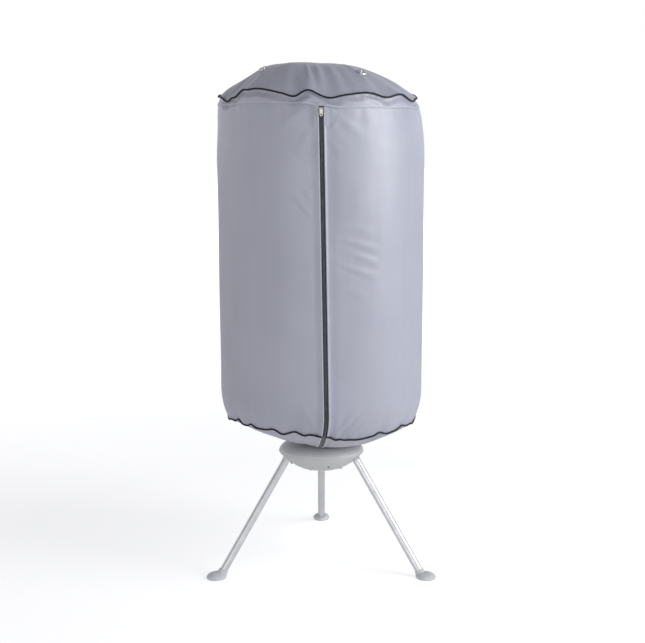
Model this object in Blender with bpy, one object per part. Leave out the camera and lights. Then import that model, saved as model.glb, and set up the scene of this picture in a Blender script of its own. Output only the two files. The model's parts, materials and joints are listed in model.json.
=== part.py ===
"""Electric clothes dryer on a folding tripod.

A round blower base stands on three folding legs and holds a mast. Near the top of the mast six
hanger arms fold out from a hub. A zipped fabric cover hangs from a crown disc at the mast's tip
and is gathered round the top of the blower, which fills it with warm air.

Units are metres and +Z is up. The zipper is at the front, which faces -Y. Every part is placed
round the mast's axis. That axis stands a little in front of the origin, so that the origin is the
middle of the floor that the whole dryer covers.
"""
import math

import bmesh
import bpy
from mathutils import Matrix, Vector

TAU = math.tau
GAP = 0.0003                    # clearance between pieces that touch
HOUSING_SEGMENTS = 60           # facets round each housing

# Cover
COVER_RADIUS = 0.294
COVER_APEX_Z = 1.455
COVER_THICKNESS = 0.0020
DOME_RISE = 0.100               # from the top piping to the apex
DOME_POWER = 2.45
TOP_PIPING_RADIUS = 0.278
TOP_PIPING_Z = COVER_APEX_Z - DOME_RISE
SHOULDER_HEIGHT = 0.026         # from the top piping down to the full radius
SEAM_Z = TOP_PIPING_Z - 0.0240  # flat seam where the zipper starts
CYLINDER_BOTTOM_Z = 0.522       # below this the side curves in
BOTTOM_PIPING_RADIUS = 0.273
BOTTOM_PIPING_Z = 0.4350
TUCK_POWER = 2.2
COLLAR_RADIUS = 0.0650
COLLAR_Z = 0.3650
PANEL_POWER = 1.6
PIPING_SIZE = 0.0020
EYELET_RING_RADIUS = 0.176
EYELET_AZIMUTHS = (40.0, 168.0, 296.0)
EYELET_BORE = 0.0070
EYELET_NECK = 0.0081
EYELET_FLANGE = 0.0138
EYELET_HOLE = 0.0090
EYELET_FACE = 0.0021            # from the middle of the cloth to each flange
EYELET_BACK = 0.0033            # and to each flange's outer face

# Zipper. Its centre line leans to the right on its way down the wall, then turns back to the left
# above the bottom piping and runs on under the bottom panel.
ZIP_LEAN = 0.0173               # sideways run for each metre down
ZIP_BEND_Z = CYLINDER_BOTTOM_Z - 0.020
ZIP_BEND_X = ZIP_LEAN * (SEAM_Z - ZIP_BEND_Z)
ZIP_PIPING_X = 0.0080
ZIP_END_X = -0.0060
SLIT_HALF_WIDTH = 0.0088
ZIP_CENTRE_GAP = 0.0006         # from the centre line to each half
ZIP_HALF_WIDTH = 0.0079
ZIP_TAPE_HALF_THICKNESS = 0.0008
ZIP_BEAD_WIDTH = 0.0026
ZIP_BEAD_HEIGHT = 0.0010
ZIP_END_RADIUS = 0.1170         # the zipper's lower end, on the bottom panel
SLIDER_Z = SEAM_Z - 0.0095
SLIDER_HEIGHT = 0.0110
SLIDER_HALF_WIDTH = 0.0045
SLIDER_PLATE = 0.0015
SLIDER_CLEARANCE = 0.0005
BAIL_X = 0.0034                 # middle of each of the slider's two ears
BAIL_HALF = 0.0006
BAIL_HEIGHT = 0.0027            # of the pull's pin above the slider's middle
PULL_LENGTH = 0.0190
PULL_HALF_WIDTH = 0.0042
PULL_PIN_RADIUS = 0.0008
PULL_STANDOFF = 0.0062          # of the pull's pin in front of the zipper
PULL_EYE_RADIUS = 0.0020
PULL_HOLE_RADIUS = 0.0022

# Blower base, with heights counted from its flat bottom
BASE_BOTTOM_Z = 0.2845
BASE_FLAT_RADIUS = 0.062
RIM_RADIUS = 0.1275
RIM_HEIGHT = 0.0505
FLANK_POWER = 1.25              # 1 would be a cone and 2 an ellipsoid
SHELL_WALL = 0.0027
NECK_RADIUS = 0.058
SHOULDER_RISE = 0.026           # of the upper housing, from the rim to the neck
NECK_HEIGHT = 0.0950
FACET_DEPTH = 0.0080            # of the hollow in each flank between two legs
FACET_HALF_ANGLE = 42.5
FACET_INNER_RADIUS = 0.088
FACET_AZIMUTHS = (0.0, 120.0, 240.0)
OUTLET_BORE = 0.0500
OUTLET_SEAT_RADIUS = 0.0530
OUTLET_SEAT_DEPTH = 0.0040
SOCKET_RISE = 0.0450            # of the mast's socket above the outlet grille
INTAKE_SEAT_RADIUS = 0.0548
INTAKE_LIP_RADIUS = 0.0515
INTAKE_LIP_HEIGHT = 0.0045
GRILLE_THICKNESS = 0.0024
SCREW_CIRCLE = 0.0885
SCREW_AZIMUTHS = tuple(-20.0 + 60.0 * i for i in range(6))
POST_RADIUS = 0.0046
SCREW_SEAT = 0.0100             # lower end of the bosses that the screws' heads bear on
SEAT_HEIGHT = 0.0125
SCREW_HOLE = 0.0020
REAR_FITTING_X = 0.055          # the timer is to the right of the rear leg, the gland to its left
REAR_FITTING_HEIGHT = 0.0330
REAR_FACE_Y = 0.1220
BOSS_LENGTH = 0.0480
TIMER_BOSS_RADIUS = 0.0150
GLAND_BOSS_RADIUS = 0.0120
GLAND_BORE = 0.0066
KNOB_RADIUS = 0.0125
KNOB_HEIGHT = 0.0100
KNOB_GROOVES = 8
STEM_RADIUS = 0.0030
STEM_BORE = 0.0036
SWITCH_RADIUS = 0.0080
SWITCH_LENGTH = 0.0180
LENS_AZIMUTH = 12.5
LENS_HEIGHT = 0.0215
LENS_RADIUS_FROM_AXIS = 0.0979
LATCH_AZIMUTHS = (-42.5, 42.5)  # two small notches under the rim
LATCH_DROP = 0.0055
LATCH_RADIUS = 0.1238

# What stands inside the base, as heights above its bottom
SHROUD_BOTTOM = 0.0048
SHROUD_TOP = 0.0540
SHROUD_RADIUS = 0.0555
SHROUD_FLOOR = 0.0027           # thickness of the plate and arms that carry the motor
MOTOR_RADIUS = 0.0170
MOTOR_HEIGHT = 0.0185
IMPELLER_BOTTOM = 0.0140
IMPELLER_HEIGHT = 0.0150
IMPELLER_RADIUS = 0.0485
BLADE_COUNT = 7
HEATER_HALF = 0.0375
HEATER_BOTTOM = 0.0580
HEATER_HEIGHT = 0.0120
FRAME_HALF = 0.0450

# Tripod
LEG_AZIMUTHS = {"left": -60.0, "right": 60.0, "rear": 180.0}
HINGE_RADIUS = 0.112
HINGE_HEIGHT = 0.0420           # above the base's bottom
HINGE_Z = BASE_BOTTOM_Z + HINGE_HEIGHT
LEG_END_RADIUS = 0.330
LEG_END_Z = 0.0105
LEG_TUBE_RADIUS = 0.0110
LEG_WALL = 0.0012
KNUCKLE_RADIUS = 0.0075
KNUCKLE_HALF_WIDTH = 0.0100
KNUCKLE_COLLAR = 0.0160         # from the hinge to the tube's end
POCKET_HALF_WIDTH = 0.0125
POCKET_WALL = 0.0028
POCKET_DEPTH = 0.0122           # inwards from the hinge
POCKET_ROOF = 0.0012            # clearance above the knuckle
HINGE_PIN_RADIUS = 0.0030
FOOT_RADIUS_FROM_AXIS = 0.346
FOOT_LENGTH = 0.060
FOOT_WIDTH = 0.0530
FOOT_HEIGHT = 0.018
FOOT_EDGE = 0.0035

# Mast and hanger
MAST_RADIUS = 0.0110
MAST_WALL = 0.0012
MAST_SEAT_HEIGHT = 0.0820       # above the base's bottom
MAST_BOTTOM_Z = BASE_BOTTOM_Z + MAST_SEAT_HEIGHT
MAST_JOINT_Z = 0.8950
MAST_PLUG_LENGTH = 0.050
MAST_TOP_Z = 1.4120
HUB_RADIUS = 0.034
HUB_BOTTOM_Z = 1.3260
HUB_TOP_Z = 1.3500
HUB_EDGE = 0.0020
ARM_PIVOT_RADIUS = 0.0270
ARM_PIVOT_Z = 1.3380
ARM_TIP_RADIUS = 0.257
ARM_HALF_THICKNESS = 0.0036
ARM_HALF_HEIGHT = 0.0060
ARM_ROOT_RADIUS = 0.0058
ARM_COUNT = 6
ARM_NOTCHES = (0.120, 0.195)
NOTCH_WIDTH = 0.0120
NOTCH_DEPTH = 0.0070
CROWN_RADIUS = 0.050

ZIP_PLANE = COVER_RADIUS - COVER_THICKNESS / 2
PULL_PIN_OUT = ZIP_PLANE + PULL_STANDOFF
FRONT_REACH = PULL_PIN_OUT + PULL_EYE_RADIUS
REAR_REACH = FOOT_RADIUS_FROM_AXIS + FOOT_LENGTH / 2
MAST_AXIS_Y = (FRONT_REACH - REAR_REACH) / 2

LEG_TILT = math.atan2(LEG_END_RADIUS - HINGE_RADIUS, HINGE_Z - LEG_END_Z)
LEG_LENGTH = math.hypot(LEG_END_RADIUS - HINGE_RADIUS, HINGE_Z - LEG_END_Z)


# ---------------------------------------------------------------- mesh building

def is_flat_hub(vert):
    """True for the middle of a flat fan of faces, which one many-sided face can replace."""
    if math.hypot(vert.co.x, vert.co.y) > 1e-7:
        return False
    return all(face.normal.length > 0 and abs(face.normal.z) > 0.9999 for face in vert.link_faces)


def mesh_from(bm):
    """Finish a bmesh as one clean, outward-facing mesh."""
    bmesh.ops.remove_doubles(bm, verts=bm.verts, dist=1e-6)
    bm.normal_update()
    loose = [edge for edge in bm.edges if not edge.link_faces]
    bmesh.ops.delete(bm, geom=loose, context="EDGES")
    hubs = [vert for vert in bm.verts if is_flat_hub(vert)]
    bmesh.ops.dissolve_verts(bm, verts=hubs)
    bmesh.ops.recalc_face_normals(bm, faces=bm.faces)
    mesh = bpy.data.meshes.new("shape")
    bm.to_mesh(mesh)
    bm.free()
    return mesh


def turned(outline, segments=36):
    """Spin a closed (radius, height) outline round Z."""
    bm = bmesh.new()
    verts = [bm.verts.new((radius, 0.0, height)) for radius, height in outline]
    edges = [bm.edges.new(pair) for pair in zip(verts, verts[1:] + verts[:1])]
    bmesh.ops.spin(
        bm, geom=verts + edges, cent=(0, 0, 0), axis=(0, 0, 1), angle=TAU,
        steps=segments, use_merge=True, use_duplicate=False)
    return mesh_from(bm)


def prism(outline, half_depth):
    """Extrude a closed (x, z) outline along Y, to half_depth each way."""
    bm = bmesh.new()
    face = bm.faces.new([bm.verts.new((x, -half_depth, z)) for x, z in outline])
    grown = bmesh.ops.extrude_face_region(bm, geom=[face])
    far_side = [item for item in grown["geom"] if isinstance(item, bmesh.types.BMVert)]
    bmesh.ops.translate(bm, verts=far_side, vec=(0, 2 * half_depth, 0))
    return mesh_from(bm)


def lofted(sections):
    """Skin a row of equal closed loops of points and cap its two ends."""
    bm = bmesh.new()
    rings = [[bm.verts.new(point) for point in section] for section in sections]
    count = len(rings[0])
    for ring, following in zip(rings, rings[1:]):
        for i in range(count):
            j = (i + 1) % count
            bm.faces.new((ring[i], ring[j], following[j], following[i]))
    bm.faces.new(rings[0])
    bm.faces.new(rings[-1])
    return mesh_from(bm)


def rod(radius, low, high, segments=16):
    """A solid cylinder along Z."""
    return turned([(0, low), (radius, low), (radius, high), (0, high)], segments)


def tube(outer, inner, low, high, segments=20):
    """A pipe along Z."""
    return turned([(inner, low), (outer, low), (outer, high), (inner, high)], segments)


def ring(radius, height, thickness, segments=36, sides=5):
    """A ring of round section, flat to Z."""
    outline = []
    for i in range(sides):
        angle = TAU * i / sides
        outline.append((radius + thickness * math.cos(angle), height + thickness * math.sin(angle)))
    return turned(outline, segments)


def block(low, high):
    """A box between two corners."""
    outline = [(low[0], low[2]), (high[0], low[2]), (high[0], high[2]), (low[0], high[2])]
    mesh = prism(outline, (high[1] - low[1]) / 2)
    mesh.transform(Matrix.Translation((0, (high[1] + low[1]) / 2, 0)))
    return mesh


def arc(centre, radius, start, stop, steps):
    """Points on an arc of (x, z), from start to stop in degrees."""
    points = []
    for i in range(steps + 1):
        angle = math.radians(start + (stop - start) * i / steps)
        points.append((centre[0] + radius * math.cos(angle), centre[1] + radius * math.sin(angle)))
    return points


def thickened(points, thickness):
    """Close an open (radius, height) line into an outline, thickness deep on its left side."""
    inner = []
    for i, point in enumerate(points):
        before = Vector(points[max(i - 1, 0)])
        after = Vector(points[min(i + 1, len(points) - 1)])
        along = (after - before).normalized()
        side = Vector((-along.y, along.x)) * thickness
        inner.append((max(point[0] + side.x, 0.0), point[1] + side.y))
    return list(points) + inner[::-1]


# ---------------------------------------------------------------- objects

def make_material(name, colour, roughness, metallic=0.0):
    material = bpy.data.materials.new(name)
    material.use_nodes = True
    shader = material.node_tree.nodes["Principled BSDF"]
    shader.inputs["Base Color"].default_value = (*colour, 1.0)
    shader.inputs["Roughness"].default_value = roughness
    shader.inputs["Metallic"].default_value = metallic
    return material


def add_empty(name, parent, location=(0, 0, 0), azimuth=None):
    """An empty whose +X points outwards at an azimuth counted from the front, towards +X."""
    empty = bpy.data.objects.new(name, None)
    bpy.context.collection.objects.link(empty)
    empty.parent = parent
    empty.location = location
    if azimuth is not None:
        empty.rotation_euler.z = math.radians(azimuth - 90)
    return empty


def add_part(name, mesh, finish, parent, location=(0, 0, 0), rotation=(0, 0, 0)):
    """Place one piece. finish is its colour, roughness and metallic value."""
    mesh.name = name
    mesh.materials.clear()
    mesh.materials.append(make_material(name, *finish))
    mesh.shade_smooth()
    mesh.set_sharp_from_angle(angle=math.radians(35))
    part = bpy.data.objects.new(name, mesh)
    bpy.context.collection.objects.link(part)
    part.parent = parent
    part.location = location
    part.rotation_euler = rotation
    return part


def combined(mesh, tool, operation):
    """The boolean of two meshes, as a new mesh."""
    base = bpy.data.objects.new("base", mesh)
    other = bpy.data.objects.new("other", tool)
    for item in (base, other):
        bpy.context.collection.objects.link(item)
    modifier = base.modifiers.new("boolean", "BOOLEAN")
    modifier.operation = operation
    modifier.solver = "EXACT"
    modifier.object = other
    depsgraph = bpy.context.evaluated_depsgraph_get()
    result = bpy.data.meshes.new_from_object(base.evaluated_get(depsgraph))
    for item in (base, other):
        bpy.data.objects.remove(item)
    bm = bmesh.new()
    bm.from_mesh(result)
    bmesh.ops.dissolve_degenerate(bm, dist=1e-6, edges=bm.edges)
    return mesh_from(bm)


def cut(mesh, tool):
    return combined(mesh, tool, "DIFFERENCE")


def join(mesh, tool):
    return combined(mesh, tool, "UNION")


def moved(mesh, matrix):
    mesh.transform(matrix)
    return mesh


def facing_out(radius, height, azimuth):
    """Matrix that stands a piece's +X outwards at an azimuth, at a radius and height."""
    turn = Matrix.Rotation(math.radians(azimuth - 90), 4, "Z")
    return turn @ Matrix.Translation((radius, 0, height))


def along_y(x, y, z):
    """Matrix that lays a piece's +Z along +Y, with its origin at a point."""
    return Matrix.Translation((x, y, z)) @ Matrix.Rotation(math.radians(-90), 4, "X")


# ---------------------------------------------------------------- finishes

HOUSING = ((0.52, 0.52, 0.53), 0.40)
DARK_PLASTIC = ((0.06, 0.06, 0.07), 0.45)
PALE_PLASTIC = ((0.62, 0.63, 0.64), 0.45)
STEEL = ((0.70, 0.70, 0.71), 0.20, 1.0)
DULL_METAL = ((0.45, 0.45, 0.46), 0.40, 1.0)
RUBBER = ((0.42, 0.43, 0.44), 0.75)
FABRIC = ((0.42, 0.42, 0.48), 0.55)
PIPING = ((0.01, 0.01, 0.015), 0.60)
ZIP_TAPE = ((0.05, 0.05, 0.06), 0.70)
COPPER = ((0.70, 0.36, 0.20), 0.30, 1.0)
CERAMIC = ((0.80, 0.78, 0.72), 0.60)
FILTER_FOAM = ((0.10, 0.10, 0.11), 0.90)
LENS = ((0.10, 0.10, 0.11), 0.15)


# ---------------------------------------------------------------- blower base

def rim_curve(inset, start, stop, steps):
    """Flank of the lower housing, between its flat bottom (0) and the rim (90)."""
    points = []
    for i in range(steps + 1):
        angle = math.radians(start + (stop - start) * i / steps)
        out = math.sin(angle) ** (2 / FLANK_POWER)
        up = max(math.cos(angle), 0.0) ** (2 / FLANK_POWER)
        radius = BASE_FLAT_RADIUS + (RIM_RADIUS - BASE_FLAT_RADIUS - inset) * out
        points.append((radius, RIM_HEIGHT - (RIM_HEIGHT - inset) * up))
    return points


def shoulder_curve(inset, steps):
    """Rounded top of the upper housing, from the rim up to the neck."""
    points = []
    for i in range(steps + 1):
        angle = math.radians(90 * i / steps)
        radius = NECK_RADIUS + (RIM_RADIUS - NECK_RADIUS - inset) * math.cos(angle)
        height = RIM_HEIGHT + GAP + (SHOULDER_RISE - inset) * math.sin(angle)
        points.append((radius, height))
    return points


def faceted(mesh):
    """Press a shallow hollow into each flank between two legs. Both faces of the wall move."""
    for vert in mesh.vertices:
        radius = math.hypot(vert.co.x, vert.co.y)
        share = (radius - FACET_INNER_RADIUS) / (RIM_RADIUS - FACET_INNER_RADIUS)
        if share <= 0:
            continue
        azimuth = math.degrees(math.atan2(vert.co.x, -vert.co.y))
        away = min(abs((azimuth - facet + 180) % 360 - 180) for facet in FACET_AZIMUTHS)
        part = away / (FACET_HALF_ANGLE * math.sqrt(share))
        if part < 1:
            scale = 1 - FACET_DEPTH * share * (1 - part ** 2) / radius
            vert.co.x *= scale
            vert.co.y *= scale
    return mesh


def leg_pocket_block():
    """Walls round one leg's pocket, trimmed so that they stay under the upper housing."""
    half = POCKET_HALF_WIDTH + POCKET_WALL
    low = (HINGE_RADIUS - POCKET_DEPTH - POCKET_WALL, -half, 0.0015)
    walls = block(low, (RIM_RADIUS, half, RIM_HEIGHT + 0.0075))
    limit = rim_curve(0.0008, 0, 90, 5) + shoulder_curve(SHELL_WALL + 0.0022, 6)[:4]
    limit = [(0.0, 0.0005)] + limit + [(0.0, limit[-1][1])]
    envelope = turned(limit)
    return combined(walls, envelope, "INTERSECT")


def leg_pocket_cutter():
    """The room that a leg's knuckle and tube need, from splayed to folded."""
    outboard = RIM_RADIUS + 0.0080
    roof = HINGE_HEIGHT + KNUCKLE_RADIUS + POCKET_ROOF
    outline = [
        (HINGE_RADIUS - POCKET_DEPTH, -0.010),
        (outboard, -0.010),
        (outboard, HINGE_HEIGHT - 0.0030),
        (HINGE_RADIUS + 0.0134, HINGE_HEIGHT - 0.0030),
        (HINGE_RADIUS + 0.0117, HINGE_HEIGHT - 0.0005),
        (HINGE_RADIUS + 0.0096, HINGE_HEIGHT + 0.0025),
        (HINGE_RADIUS + 0.0040, roof),
        (HINGE_RADIUS - POCKET_DEPTH, roof),
    ]
    return prism(outline, POCKET_HALF_WIDTH)


def lower_housing_mesh():
    """Dish with the intake opening, three leg pockets, the screw holes and two rear bosses."""
    outer = [(INTAKE_SEAT_RADIUS, 0.0)] + rim_curve(0.0, 0, 90, 6)
    inner = rim_curve(SHELL_WALL, 90, 0, 4)
    seat_step = GRILLE_THICKNESS + GAP
    seat = [
        (INTAKE_SEAT_RADIUS + 0.0030, SHELL_WALL),
        (INTAKE_SEAT_RADIUS + 0.0030, INTAKE_LIP_HEIGHT),
        (INTAKE_LIP_RADIUS, INTAKE_LIP_HEIGHT),
        (INTAKE_LIP_RADIUS, seat_step),
        (INTAKE_SEAT_RADIUS, seat_step),
    ]
    mesh = faceted(turned(outer + inner + seat, HOUSING_SEGMENTS))
    for azimuth in LEG_AZIMUTHS.values():
        turn = Matrix.Rotation(math.radians(azimuth - 90), 4, "Z")
        mesh = join(mesh, moved(leg_pocket_block(), turn))
    for x, radius in ((REAR_FITTING_X, TIMER_BOSS_RADIUS), (-REAR_FITTING_X, GLAND_BOSS_RADIUS)):
        place = along_y(x, REAR_FACE_Y - BOSS_LENGTH, REAR_FITTING_HEIGHT)
        mesh = join(mesh, moved(rod(radius, 0, BOSS_LENGTH, 24), place))
    for azimuth in LEG_AZIMUTHS.values():
        turn = Matrix.Rotation(math.radians(azimuth - 90), 4, "Z")
        mesh = cut(mesh, moved(leg_pocket_cutter(), turn))
        pin_hole = rod(HINGE_PIN_RADIUS + GAP, -0.030, 0.030, 12)
        pin_hole = moved(pin_hole, along_y(HINGE_RADIUS, 0, HINGE_HEIGHT))
        mesh = cut(mesh, moved(pin_hole, turn))
    for x, radius in ((REAR_FITTING_X, STEM_BORE), (-REAR_FITTING_X, GLAND_BORE)):
        place = along_y(x, REAR_FACE_Y - BOSS_LENGTH - 0.004, REAR_FITTING_HEIGHT)
        mesh = cut(mesh, moved(rod(radius, 0, BOSS_LENGTH + 0.014, 20), place))
    for azimuth in SCREW_AZIMUTHS:
        seat = rod(POST_RADIUS, SCREW_SEAT, SCREW_SEAT + SEAT_HEIGHT, 12)
        mesh = join(mesh, moved(seat, facing_out(SCREW_CIRCLE, 0, azimuth)))
    for azimuth in SCREW_AZIMUTHS:
        hole = rod(SCREW_HOLE, SCREW_SEAT - 0.010, SCREW_SEAT + SEAT_HEIGHT + 0.0020, 8)
        mesh = cut(mesh, moved(hole, facing_out(SCREW_CIRCLE, 0, azimuth)))
    for azimuth in LATCH_AZIMUTHS:
        notch = block((-0.0010, -0.0030, -0.0010), (0.0100, 0.0030, 0.0010))
        mesh = cut(mesh, moved(notch, facing_out(LATCH_RADIUS, RIM_HEIGHT - LATCH_DROP, azimuth)))
    lens_hole = moved(rod(0.0028, -0.020, 0.020, 12), Matrix.Rotation(math.radians(90), 4, "Y"))
    return cut(mesh, moved(lens_hole, facing_out(LENS_RADIUS_FROM_AXIS, LENS_HEIGHT, LENS_AZIMUTH)))


def upper_housing_mesh():
    """Domed shell with the outlet neck and six screw posts inside."""
    outer = shoulder_curve(0.0, 6) + [(NECK_RADIUS - 0.0010, NECK_HEIGHT)]
    inner = [
        (OUTLET_SEAT_RADIUS, NECK_HEIGHT),
        (OUTLET_SEAT_RADIUS, NECK_HEIGHT - OUTLET_SEAT_DEPTH),
        (OUTLET_BORE, NECK_HEIGHT - OUTLET_SEAT_DEPTH),
        (OUTLET_BORE, RIM_HEIGHT + SHOULDER_RISE - SHELL_WALL),
    ]
    inner += shoulder_curve(SHELL_WALL, 4)[::-1]
    mesh = faceted(turned(outer + inner, HOUSING_SEGMENTS))
    post_top = RIM_HEIGHT + SHOULDER_RISE - 0.0045
    for azimuth in SCREW_AZIMUTHS:
        post = rod(POST_RADIUS, SCREW_SEAT + SEAT_HEIGHT + 0.0006, post_top, 8)
        mesh = join(mesh, moved(post, facing_out(SCREW_CIRCLE, 0, azimuth)))
    for azimuth in SCREW_AZIMUTHS:
        bore = rod(SCREW_HOLE - 0.0001, SCREW_SEAT, SCREW_SEAT + SEAT_HEIGHT + 0.010, 8)
        mesh = cut(mesh, moved(bore, facing_out(SCREW_CIRCLE, 0, azimuth)))
    return mesh


def intake_grille_mesh():
    """Slotted disc in the bottom opening."""
    radius = INTAKE_SEAT_RADIUS - GAP
    mesh = rod(radius, 0.0002, GRILLE_THICKNESS, 32)
    for i in range(-4, 5):
        x = 0.0105 * i
        reach = math.sqrt((radius - 0.006) ** 2 - x ** 2)
        slot = block((x - 0.0030, -reach, -0.010), (x + 0.0030, reach, 0.020))
        mesh = cut(mesh, slot)
    return mesh


def outlet_grille_mesh():
    """Spoked ring over the outlet, with the mast's socket in its middle."""
    top = NECK_HEIGHT - 0.0006
    bottom = NECK_HEIGHT - OUTLET_SEAT_DEPTH + GAP
    socket_floor = MAST_SEAT_HEIGHT - GAP
    outline = [
        (MAST_RADIUS + GAP, socket_floor),
        (MAST_RADIUS + GAP, top + SOCKET_RISE),
        (0.0150, top + SOCKET_RISE),
        (0.0170, top),
        (OUTLET_SEAT_RADIUS - GAP, top),
        (OUTLET_SEAT_RADIUS - GAP, bottom),
        (0.0170, bottom),
        (0.0150, MAST_SEAT_HEIGHT - 0.0040),
        (0.0, MAST_SEAT_HEIGHT - 0.0040),
        (0.0, socket_floor),
    ]
    mesh = turned(outline, 28)
    for i in range(10):
        slot = block((0.0210, -0.0044, bottom - 0.010), (0.0450, 0.0044, top + 0.010))
        mesh = cut(mesh, moved(slot, Matrix.Rotation(TAU * i / 10, 4, "Z")))
    return mesh


def fan_shroud_mesh():
    """Duct round the impeller, with three arms that carry the motor."""
    low = SHROUD_TOP - SHROUD_FLOOR
    mesh = tube(SHROUD_RADIUS, SHROUD_RADIUS - 0.0030, SHROUD_BOTTOM, SHROUD_TOP, 28)
    mesh = join(mesh, rod(MOTOR_RADIUS + 0.0010, low, SHROUD_TOP))
    for i in range(3):
        arm = block((0.0100, -0.0035, low), (SHROUD_RADIUS - 0.0015, 0.0035, SHROUD_TOP))
        mesh = join(mesh, moved(arm, Matrix.Rotation(TAU * (i + 0.5) / 3, 4, "Z")))
    return mesh


def fan_motor_mesh():
    """Motor can, open below for its shaft."""
    top = SHROUD_TOP - SHROUD_FLOOR - GAP
    low = top - MOTOR_HEIGHT
    edge = 0.0010
    outline = [
        (0.0020, low), (MOTOR_RADIUS - edge, low), (MOTOR_RADIUS, low + edge),
        (MOTOR_RADIUS, top - edge), (MOTOR_RADIUS - edge, top), (0.0, top),
        (0.0, low + 0.0075), (0.0020, low + 0.0075),
    ]
    return turned(outline, 18)


def fan_impeller_mesh():
    """Hub with pitched blades."""
    low = IMPELLER_BOTTOM
    top = IMPELLER_BOTTOM + IMPELLER_HEIGHT
    bore = 0.0019
    outline = [(bore, low), (0.0130, low), (0.0150, low + 0.0020), (0.0150, top), (bore, top)]
    mesh = turned(outline, 18)
    for i in range(BLADE_COUNT):
        blade = block((0.0120, -0.0095, -0.0008), (IMPELLER_RADIUS, 0.0095, 0.0008))
        pitch = Matrix.Translation((0, 0, low + 0.0078)) @ Matrix.Rotation(math.radians(34), 4, "X")
        mesh = join(mesh, moved(blade, Matrix.Rotation(TAU * i / BLADE_COUNT, 4, "Z") @ pitch))
    return mesh


def ptc_heater_mesh():
    """Square heating element with rows of open fins."""
    half = HEATER_HALF
    mesh = block((-half, -half, HEATER_BOTTOM), (half, half, HEATER_BOTTOM + HEATER_HEIGHT))
    for i in range(-3, 4):
        y = 0.0100 * i
        slot = block(
            (-half + 0.0040, y - 0.0030, HEATER_BOTTOM - 0.010),
            (half - 0.0040, y + 0.0030, HEATER_BOTTOM + 0.020))
        mesh = cut(mesh, slot)
    return mesh


def heater_frame_mesh():
    """Square frame that holds the heating element over the fan."""
    low = SHROUD_TOP + 0.0006
    recess = HEATER_HALF + 0.0005
    window = HEATER_HALF - 0.0025
    mesh = block((-FRAME_HALF, -FRAME_HALF, low), (FRAME_HALF, FRAME_HALF, low + 0.0169))
    mesh = cut(mesh, block((-recess, -recess, HEATER_BOTTOM - 0.0005), (recess, recess, low + 0.030)))
    return cut(mesh, block((-window, -window, low - 0.010), (window, window, low + 0.010)))


def timer_knob_mesh():
    """Ribbed knob with a pointer bar and a stem that reaches the switch."""
    stem_end = -BOSS_LENGTH - 0.0040
    back = 0.0004               # the knob's underside, off the boss
    outline = [
        (0.0, stem_end), (STEM_RADIUS, stem_end), (STEM_RADIUS, back), (KNOB_RADIUS, back),
        (KNOB_RADIUS, KNOB_HEIGHT - 0.0015), (KNOB_RADIUS - 0.0013, KNOB_HEIGHT), (0.0, KNOB_HEIGHT),
    ]
    mesh = turned(outline, 20)
    for i in range(KNOB_GROOVES):
        groove = rod(0.0014, back + 0.0016, KNOB_HEIGHT + 0.0020, 6)
        groove = moved(groove, Matrix.Translation((KNOB_RADIUS + 0.0006, 0, 0)))
        mesh = cut(mesh, moved(groove, Matrix.Rotation(TAU * (i + 0.5) / KNOB_GROOVES, 4, "Z")))
    reach = KNOB_RADIUS - 0.0020
    pointer = block((-0.0020, -reach, KNOB_HEIGHT - 0.0020), (0.0020, reach, KNOB_HEIGHT + 0.0030))
    return join(mesh, pointer)


def timer_switch_mesh():
    """Round body behind the timer's boss, with a bore for the knob's stem."""
    near = -BOSS_LENGTH - 0.0004
    return tube(SWITCH_RADIUS, STEM_BORE, near - SWITCH_LENGTH, near)


def cord_gland_mesh():
    """Ring nut and neck that the mains lead passes through."""
    outline = [
        (0.0041, -0.0120), (0.0062, -0.0120), (0.0062, 0.0004), (0.0090, 0.0004),
        (0.0090, 0.0050), (0.0068, 0.0130), (0.0041, 0.0130),
    ]
    return turned(outline, 20)


def screw_mesh():
    """Pan-head screw, head down, its origin at its seat."""
    outline = [
        (0.0, -0.0019), (0.0026, -0.0019), (0.0033, -0.0012), (0.0033, -0.0004),
        (0.0015, -0.0004), (0.0015, 0.0170), (0.0, 0.0176),
    ]
    return turned(outline, 10)


def lens_mesh():
    """Small domed lens on a stem."""
    outline = [(0, -0.0080), (0.0025, -0.0080), (0.0025, 0.0002), (0.0014, 0.0011), (0, 0.0014)]
    return turned(outline, 12)


def terminal_block_mesh():
    return block((-0.070, 0.012, 0.0104), (-0.059, 0.032, 0.0200))


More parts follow.
